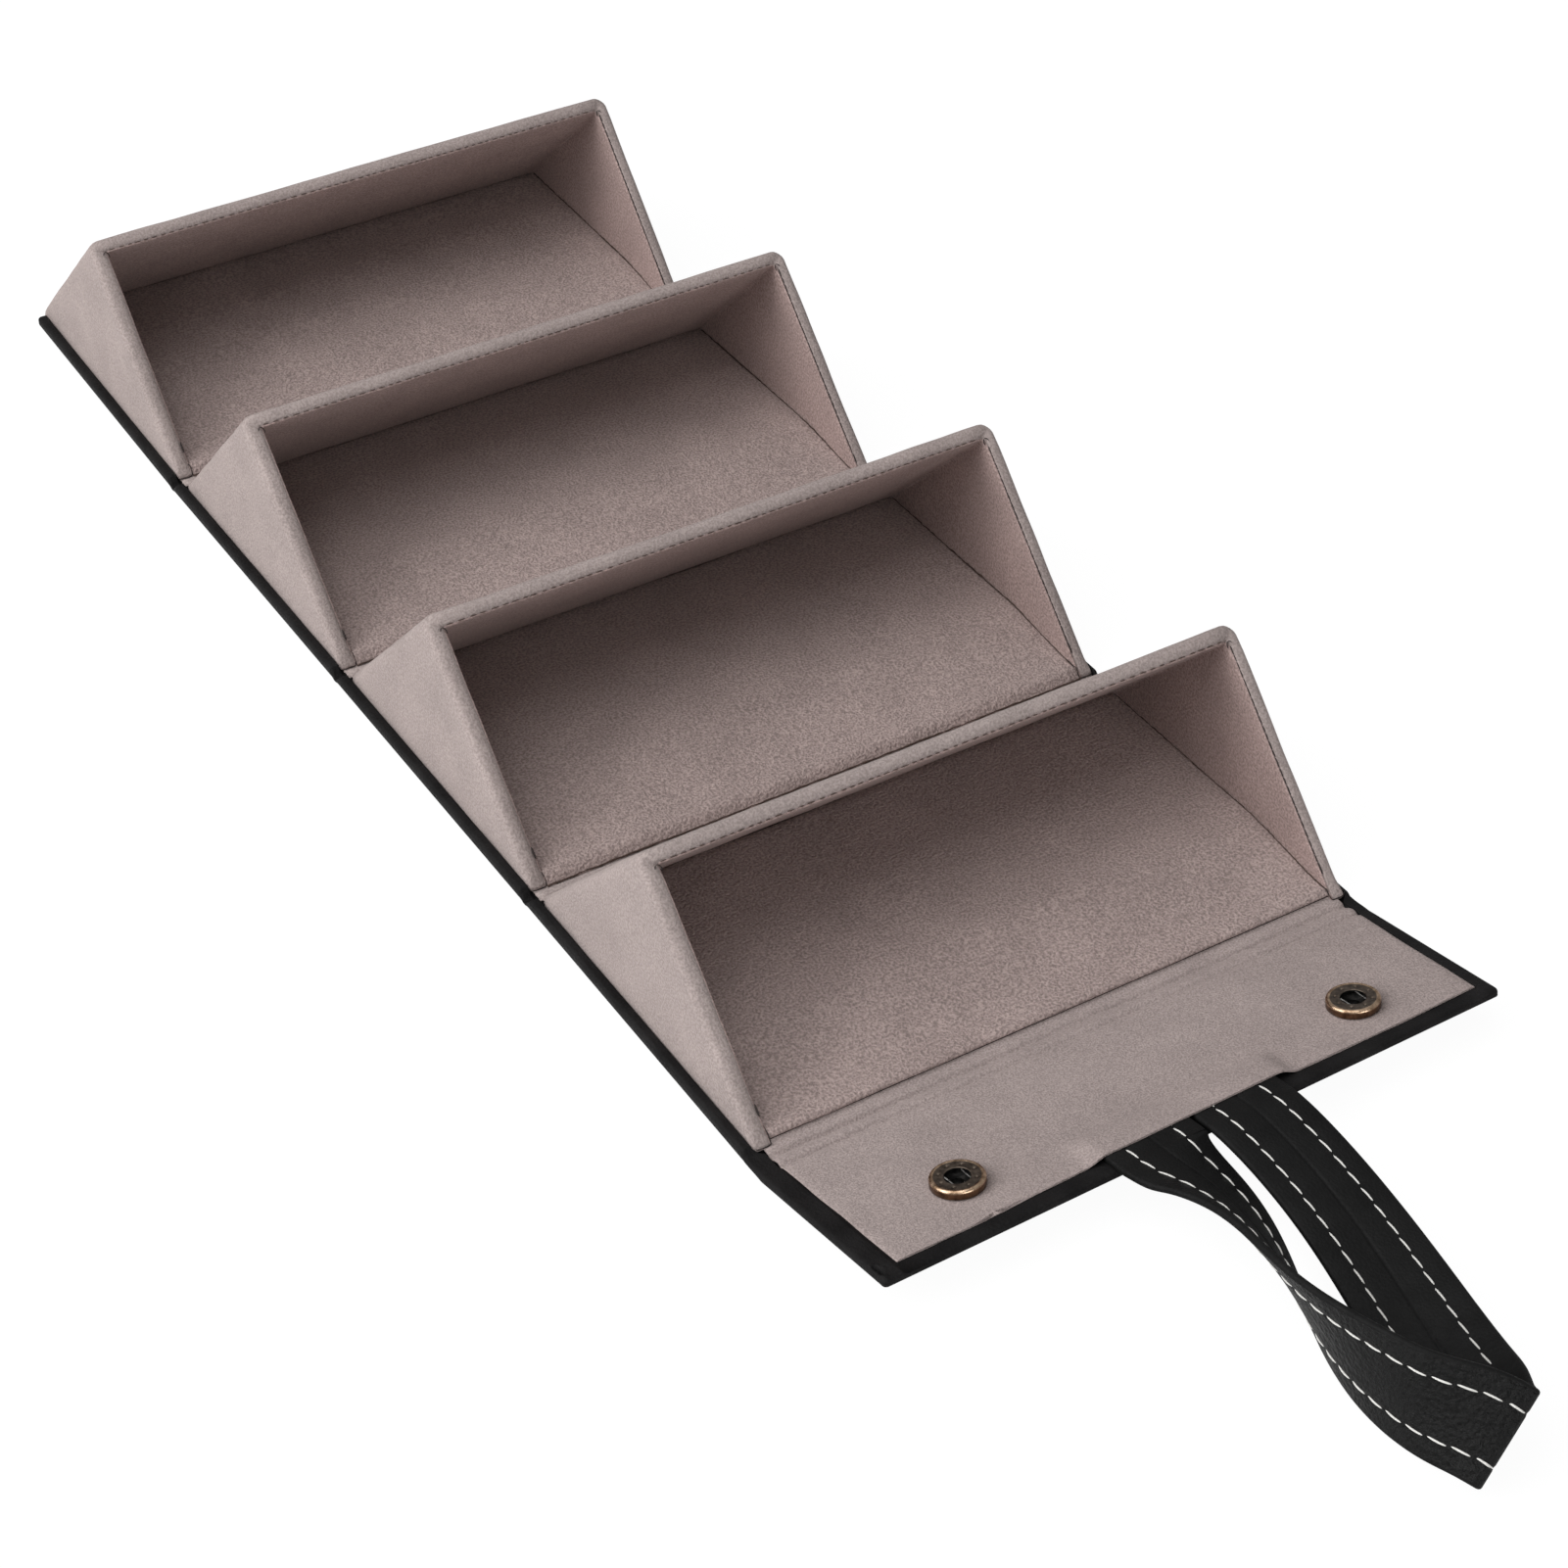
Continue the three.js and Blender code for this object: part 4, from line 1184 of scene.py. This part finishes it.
def node_axis(node, matrix):
    """Axes of a turned node, which are its tray's or flap's, moved to its middle; its radius and heights."""
    low, high = local_box(node, matrix)
    middle = Matrix.Translation(((low.x + high.x) / 2, (low.y + high.y) / 2, 0))
    return matrix @ middle, (high.x - low.x) / 2, low.z, high.z


def make_socket(word):
    """Pressed brass ring with a worn shoulder and dimples where its sheet is staked; the lower lip and the
    hollow are painted near black, as painted shade in the hole.
    """
    matrix, radius, base, top = node_axis(f"socket_{word}", FLAP_MATRIX)
    face = top - FACE_DROP
    brow = radius - SOCKET_SHOULDER
    lip_middle = SOCKET_MOUTH + SOCKET_LIP
    ceiling = top - SHEET - SMALL_STEP
    side = [(POST_HOLE, base), (radius - BEVEL, base), (radius, base + BEVEL)]
    shoulder = arc((brow, top - SOCKET_SHOULDER), SOCKET_SHOULDER, 0, 90, SHOULDER_ROWS)
    flat = [(r, face) for r in spaced(brow - FACE_START, lip_middle + BEVEL, FACE_STEP)]
    lip = arc((lip_middle, top - SHEET), SOCKET_LIP, 90, 180, LIP_ROWS)
    hollow = [(SOCKET_MOUTH, ceiling), (SOCKET_POCKET, ceiling)]
    hollow += [(SOCKET_POCKET, base + SHEET), (POST_HOLE, base + SHEET)]
    first_face = len(side) + len(shoulder)
    first_painted_shade = first_face + len(flat) + LIP_ROWS_ABOVE_SHADE
    materials = (PATINA, BRIGHT_BRASS, DARK_BRASS, HOLLOW_PAINTED_SHADE)

    def finish(row, column):
        if row < first_face:
            return materials.index(DARK_BRASS if row < len(side) else BRIGHT_BRASS)
        # The lip's lower rows and the hollow take the near-black finish of painted shade.
        return materials.index(PATINA if row < first_painted_shade else HOLLOW_PAINTED_SHADE)

    profile = side + shoulder + flat + lip + hollow
    name = f"brass_socket_{word}"
    socket = turned_piece(name, matrix, profile, *materials, finish=finish, ring=True, dimpled=face)
    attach(socket, "flap")
    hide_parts(f"socket_{word}")


def make_cap(word):
    """Low brass dome on the outside of the flap, with the post that holds the socket; the post is painted
    near black, as painted shade where it shows down the socket's hole.
    """
    matrix, radius, base, top = node_axis(f"snap_cap_{word}", FLAP_MATRIX)
    rim = -SKIN - CAP_GAP
    rise = rim - SHEET - base
    post = POST_HOLE - POST_GAP
    profile = [(AXIS_RADIUS, base)]
    for share in shares(CAP_ROWS)[1:]:
        angle = math.pi / 2 * share
        profile.append((radius * math.sin(angle), rim - SHEET - rise * math.cos(angle)))
    profile += [(radius, rim - SMALL_STEP), (radius - SMALL_STEP, rim)]
    post_row = len(profile)
    profile += [(post, rim), (post, top), (AXIS_RADIUS, top)]

    def finish(row, column):
        # The post takes the near-black finish of painted shade.
        return int(row >= post_row)

    cap = turned_piece(f"brass_cap_{word}", matrix, profile, BRIGHT_BRASS, HOLLOW_PAINTED_SHADE, finish=finish)
    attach(cap, "flap")
    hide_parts(f"snap_cap_{word}")


def make_stud(word):
    """Brass stud under the first tray, with a flange, a neck and a head."""
    matrix, flange, base, top = node_axis(f"stud_{word}", tray_matrix(1))
    face = top - SHEET
    head = base + STUD_HEAD_HEIGHT
    swell = arc((STUD_TIP, 0), STUD_HEAD - STUD_TIP, -90, 90, STUD_HEAD_ROWS)
    low, high = swell[0][1], swell[-1][1]
    profile = [(AXIS_RADIUS, base + AXIS_RADIUS)]
    profile += [(r, lerp(base, head, (level - low) / (high - low))) for r, level in swell]
    profile += [(STUD_NECK, head + SMALL_STEP), (STUD_NECK, face - STUD_NECK_FLARE)]
    profile += [(STUD_NECK + STUD_NECK_FLARE, face), (flange - BEVEL, face), (flange, face + BEVEL)]
    profile += [(flange, top), (POST_HOLE, top), (POST_HOLE, base + SHEET), (AXIS_RADIUS, base + SHEET)]
    stud = turned_piece(f"brass_stud_{word}", matrix, profile, BRIGHT_BRASS)
    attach(stud, "tray_1")
    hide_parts(f"stud_{word}")


# Strap. The run of the loop: across from the strap's middle, forward of its bend at the flap's edge, height
# above the table, and the degrees that the strap is turned from lying flat.
STRAP_RUN = [
    (-11.8, 8, 13.6, 20),
    (-8.9, 17, 11.9, 26),
    (-9.6, 35, 13.0, 52),
    (-15.5, 56, 13.4, 66),
    (-17, 77, 15.8, 91),
    (-13.5, 96, 17.4, 110),
    (-8, 106, 15.8, 110),
    (-2.0, 110.8, 13.8, 96),
    (0.4, 107.5, 12.8, 58),
    (2.2, 99, 11, 42),
    (3.4, 91, 9.4, 32),
    (7, 73, 9, 17),
    (10.5, 55, 10, 5),
    (13, 37, 11.4, 0),
    (14, 18, 13, 0),
]
STRAP_LEAD = 4.5
STRAP_SQUARE = (4.5, 18)
STRAP_ROWS = 240
STRAP_LOOK = 0.0005
RELAX_PASSES = 120
RELAX_HELD = 5
# The sharp fold at the tip: rows from it that are held in place, rows that lie along its width, and its width
TIP_HELD = (3, 16)
TIP_EASE = 0.08
TIP_FOLDED = (2, 30)
TIP_WIDTH = Vector((0.73, 0.18, 0.66)).normalized()
TAB_ROWS = 6
STRAP_HALF = STRAP_WIDTH / 2 - 0.3
STRAP_EDGE = 0.8
STRAP_EDGE_COLUMNS = 6
STRAP_COLUMNS = (0.9, 4.0)
SEAM_GROOVE = 0.4
SEAM_BROW = (0.35, 0.1)
STRAP_STITCH = 5.2
STRAP_STITCH_STEP = 5.6
STRAP_STITCH_PLACE = 6.9
STRAP_STITCH_WIDE = 0.27
STRAP_STITCH_HIGH = 0.24
STRAP_STITCH_SLANT = 0.22
STRAP_STITCH_SUNK = 0.15
STRAP_STITCH_RISE = 0.35
STITCH_CREASE = 0.18
STITCH_CREASE_HALF = 0.8
OUTWARD = Vector((0, -math.cos(FLAP_TILT), math.sin(FLAP_TILT)))


def curve_point(points, share):
    """Place on the centripetal Catmull-Rom curve through points."""
    place = share * (len(points) - 1)
    index = min(int(place), len(points) - 2)
    stops = [2 * points[0] - points[1], *points, 2 * points[-1] - points[-2]][index : index + 4]
    knots = [0.0]
    for a, b in zip(stops, stops[1:]):
        knots.append(knots[-1] + math.sqrt((b - a).length))
    at = lerp(knots[1], knots[2], place - index)
    for first, span in ((0, 1), (0, 2), (1, 1)):
        ranges = zip(knots[first:], knots[first + span :])
        weights = [(at - low) / (high - low) for low, high in ranges]
        stops = [lerp(a, b, weight) for a, b, weight in zip(stops, stops[1:], weights)]
    return stops[0]


def relaxed(sections):
    """The same run with its small waves smoothed out, its ends and the sharp fold at its tip held."""
    middles = [section[0] for section in sections]
    widths = [section[1] for section in sections]
    for _ in range(RELAX_PASSES):
        for line in (middles, widths):
            eased = [(a + 2 * b + c) / 4 for a, b, c in zip(line, line[1:], line[2:])]
            line[RELAX_HELD:-RELAX_HELD] = eased[RELAX_HELD - 1 : len(eased) - RELAX_HELD + 1]
    tip = min(range(len(sections)), key=lambda i: sections[i][0].y)
    for i, (middle, width, _) in enumerate(sections):
        ease = lerp(TIP_EASE, 1.0, smooth(*TIP_HELD, abs(i - tip)))
        middles[i] = middle.lerp(middles[i], ease)
        widths[i] = width.lerp(widths[i], ease)
    fold = middles[tip].copy()
    for i in range(len(sections)):
        hold = 1 - smooth(*TIP_FOLDED, abs(i - tip))
        middles[i] -= TIP_WIDTH * (middles[i] - fold).dot(TIP_WIDTH) * hold
        side = math.copysign(1, widths[i].dot(TIP_WIDTH))
        widths[i] = widths[i].lerp(TIP_WIDTH * side, hold)
    result = [sections[0]]
    for i in range(1, len(sections) - 1):
        along = (middles[i + 1] - middles[i - 1]).normalized()
        width = (widths[i] - along * widths[i].dot(along)).normalized()
        result.append((middles[i], width, along.cross(width)))
    return result + [sections[-1]]


def strap_sections():
    """Middle, width and thickness directions along the strap, from its left sewn end to its right one."""
    spread = (STRAP_WIDTH + STRAP_GAP) / 2
    left = Vector((STRAP_MIDDLE - spread, STRAP_BEND.y, STRAP_BEND.z))
    right = Vector((STRAP_MIDDLE + spread, STRAP_BEND.y, STRAP_BEND.z))
    run = [Vector((STRAP_MIDDLE + x, STRAP_BEND.y - forward, z)) for x, forward, z, _ in STRAP_RUN]
    points = [left, left + OUTWARD * STRAP_LEAD, *run, right + OUTWARD * STRAP_LEAD, right]
    turns = [0, 0, *(stop[3] for stop in STRAP_RUN), 0, 0]
    sections = []
    for share in shares(STRAP_ROWS):
        stop = share * (len(turns) - 1)
        low = min(int(stop), len(turns) - 2)
        turn = math.radians(lerp(turns[low], turns[low + 1], stop - low))
        middle = curve_point(points, share)
        ahead = curve_point(points, min(share + STRAP_LOOK, 1.0))
        behind = curve_point(points, max(share - STRAP_LOOK, 0.0))
        along = (ahead - behind).normalized()
        square = X_AXIS if share < 0.5 else -X_AXIS
        level = Z_AXIS.cross(along).normalized()
        flat = square.lerp(level, smooth(*STRAP_SQUARE, STRAP_BEND.y - middle.y)).normalized()
        up = along.cross(flat).normalized()
        width = flat * math.cos(turn) - up * math.sin(turn)
        sections.append((middle, width, along.cross(width).normalized()))
    sections = relaxed(sections)
    backs = [(STRAP_TAB + STRAP_THICK / 2) * share for share in shares(TAB_ROWS)[1:]]
    first, last = sections[0], sections[-1]
    sewn = [(first[0] - OUTWARD * back, *first[1:]) for back in reversed(backs)]
    sewn_last = [(last[0] - OUTWARD * back, *last[1:]) for back in backs]
    return sewn + sections + sewn_last


def strap_outline():
    """Loop of (across, height) round the strap: grained face, edge, back with the seam, edge."""
    thick = STRAP_THICK / 2
    flat = STRAP_HALF - STRAP_EDGE
    stitch = STRAP_STITCH_PLACE
    right = [(x, thick) for x in (*STRAP_COLUMNS, stitch - STITCH_CREASE_HALF)]
    right += [(stitch, thick - STITCH_CREASE), (stitch + STITCH_CREASE_HALF, thick), (flat, thick)]
    face = [(-x, -level) for x, level in reversed(right)] + [(x, -level) for x, level in right]
    edge = arc((0, 0), 1, -90, 90, STRAP_EDGE_COLUMNS)[1:-1]
    edge = [(flat + x * STRAP_EDGE, level * thick) for x, level in edge]
    brow, fall = SEAM_BROW
    seam = [(brow, thick - fall), (0, thick - SEAM_GROOVE), (-brow, thick - fall)]
    back = list(reversed(right)) + seam + [(-x, level) for x, level in right]
    return face + edge + back + [(-x, level) for x, level in reversed(edge)], len(face) - 1


def make_strap():
    sections = strap_sections()
    outline, face_columns = strap_outline()
    rows = [[middle + width * x + up * level for x, level in outline] for middle, width, up in sections]

    def finish(row, column):
        return int(column < face_columns)

    strap = lofted("leather_strap", TO_METRES, rows, STRAP_BACK, STRAP_GRAIN, finish=finish)
    stitches = strap_stitches(sections)
    for piece in (strap, stitches):
        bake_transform(piece)
    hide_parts("carry_strap", "strap_tab_left", "strap_tab_right")


def section_at(sections, lengths, place):
    """Section at a length along the strap."""
    index = 0
    while index < len(lengths) - 2 and lengths[index + 1] < place:
        index += 1
    share = (place - lengths[index]) / (lengths[index + 1] - lengths[index])
    return [a.lerp(b, share) for a, b in zip(sections[index], sections[index + 1])]


def strap_stitch(skin, sections, lengths, start, edge, face):
    """One stitch along an edge of the strap, slanted, on one of its faces."""
    places = []
    for share in STITCH_SHARES:
        middle, width, up = section_at(sections, lengths, start + STRAP_STITCH * share)
        lift = STRAP_THICK / 2 - STITCH_CREASE - STRAP_STITCH_SUNK
        lift += STRAP_STITCH_RISE * math.sin(math.pi * share)
        across = STRAP_STITCH_PLACE * edge + STRAP_STITCH_SLANT * (2 * share - 1)
        places.append(middle + width * across + up * face * lift)
    add_stitch(skin, places, width, up, STRAP_STITCH_WIDE, STRAP_STITCH_HIGH)


def strap_stitches(sections):
    """White saddle stitches along both edges of both faces."""
    skin = Skin()
    for edge in (-1, 1):
        line = [middle + width * STRAP_STITCH_PLACE * edge for middle, width, _ in sections]
        lengths = [0.0]
        for a, b in zip(line, line[1:]):
            lengths.append(lengths[-1] + (b - a).length)
        for number in range(int(lengths[-1] / STRAP_STITCH_STEP)):
            start = (number + 0.5) * STRAP_STITCH_STEP
            for face in (-1, 1):
                strap_stitch(skin, sections, lengths, start, edge, face)
    return skin.build("strap_stitches", WHITE_THREAD)


# CAD nodes that stay showing
NODE_FINISHES = {"stud_rivet": BRIGHT_BRASS, "socket_spring": STEEL}


def finish_nodes():
    for name, node in frame["nodes"].items():
        for start, material in NODE_FINISHES.items():
            if name.startswith(start):
                node.data.materials.clear()
                node.data.materials.append(material)


# Camera, light and floor. Places of lamps are in metres.
CAMERA_AZIMUTH = math.radians(-31.343)
CAMERA_ELEVATION = math.radians(38.878)
CAMERA_ROLL = math.radians(-0.249)
CAMERA_DISTANCE = 950.1
CAMERA_LENS = 79.98
CAMERA_NEAR = 0.01
SENSOR = 36.0
TARGET_X = -9.37
TARGET_FROM_FOLD = 7.11
WHITE = (1, 1, 1, 1)
FLOOR_COLOUR = (0.8, 0.8, 0.8, 1)
FLOOR_REACH = 12.0
FLOOR_LEVEL = -0.0003
SHOWN_WHITE = 0.9
WHITE_GLOW = 1.06
SURROUND = 0.4
LAMPS = {
    "lamp_above": ((-0.8, 0.3, 2.0), 2.6, 40.3),
    "lamp_left_back": ((-1.8, 0.6, 1.1), 1.2, 18.5),
    "lamp_left": ((-2.1, -0.1, 0.78), 1.2, 10.6),
    "lamp_low_front": ((0.0, -2.2, 0.5), 1.2, 16.8),
    "lamp_front": ((-1.0, -1.3, 1.45), 1.2, 5.4),
}


def make_camera():
    a, e = CAMERA_AZIMUTH, CAMERA_ELEVATION
    back = Vector((math.sin(a) * math.cos(e), -math.cos(a) * math.cos(e), math.sin(e)))
    right = Matrix.Rotation(CAMERA_ROLL, 3, back) @ Vector((math.cos(a), math.sin(a), 0))
    turn = Matrix((right, back.cross(right), back)).transposed()
    target = Vector((TARGET_X, FRONT_FOLDS[3].y + TARGET_FROM_FOLD, 0))
    data = bpy.data.cameras.new("camera")
    data.lens = CAMERA_LENS
    data.sensor_width = SENSOR
    data.clip_start = CAMERA_NEAR
    camera = add_object("camera", data)
    camera.matrix_world = Matrix.Translation((target + back * CAMERA_DISTANCE) * MM) @ turn.to_4x4()
    bpy.context.scene.camera = camera


def make_lamp(name, place, size, power):
    data = bpy.data.lights.new(name, "AREA")
    data.size = size
    data.energy = power
    lamp = add_object(name, data)
    lamp.location = place
    lamp.rotation_mode = "QUATERNION"
    lamp.rotation_quaternion = (-Vector(place)).to_track_quat("-Z", "Y")


def make_light():
    """The lamps, and a white studio that shows behind the part and in its shiny pieces."""
    world = bpy.data.worlds.new("world")
    bpy.context.scene.world = world
    world.use_nodes = True
    tree = world.node_tree
    background = tree.nodes["Background"]
    background.inputs["Color"].default_value = WHITE
    path = add_node(tree, "LightPath", {}).outputs
    sockets = {0: path["Is Glossy Ray"], 1: SURROUND, 2: path["Is Camera Ray"]}
    strength = add_node(tree, "Math", sockets, operation="MULTIPLY_ADD")
    tree.links.new(strength.outputs["Value"], background.inputs["Strength"])
    for name, (place, size, power) in LAMPS.items():
        make_lamp(name, place, size, power)


def make_stage():
    """A white floor that shows almost pure white and still takes a little shadow."""
    material = bpy.data.materials.new("white_floor")
    material.use_nodes = True
    tree = material.node_tree
    tree.nodes.clear()
    plain = add_node(tree, "BsdfDiffuse", {"Color": FLOOR_COLOUR}).outputs["BSDF"]
    glow = add_node(tree, "Emission", {"Strength": WHITE_GLOW}).outputs["Emission"]
    seen = add_node(tree, "LightPath", {}).outputs["Is Camera Ray"]
    share = add_node(tree, "Math", {0: seen, 1: SHOWN_WHITE}, operation="MULTIPLY").outputs["Value"]
    mix = add_node(tree, "MixShader", {"Fac": share, 1: plain, 2: glow}).outputs["Shader"]
    add_node(tree, "OutputMaterial", {"Surface": mix})
    reach, level = FLOOR_REACH, FLOOR_LEVEL
    mesh = bpy.data.meshes.new("floor")
    corners = [(-reach, -reach, level), (reach, -reach, level), (reach, reach, level), (-reach, reach, level)]
    mesh.from_pydata(corners, [], [(0, 1, 2, 3)])
    mesh.materials.append(material)
    add_object("floor", mesh)


make_camera()
make_light()
make_stage()
for tray in TRAYS:
    make_shell(tray)
    tray_threads_and_shade_lines(tray)
    make_floor(tray)
for fold in TRAYS[:-1]:
    make_fold(fold)
    make_fold_velvet(fold)
make_back_end()
make_flap_cover()
make_lining()
make_strap()
for word in SIDES:
    make_socket(word)
    make_cap(word)
    make_stud(word)
finish_nodes()
bpy.context.scene.view_settings.view_transform = "Standard"
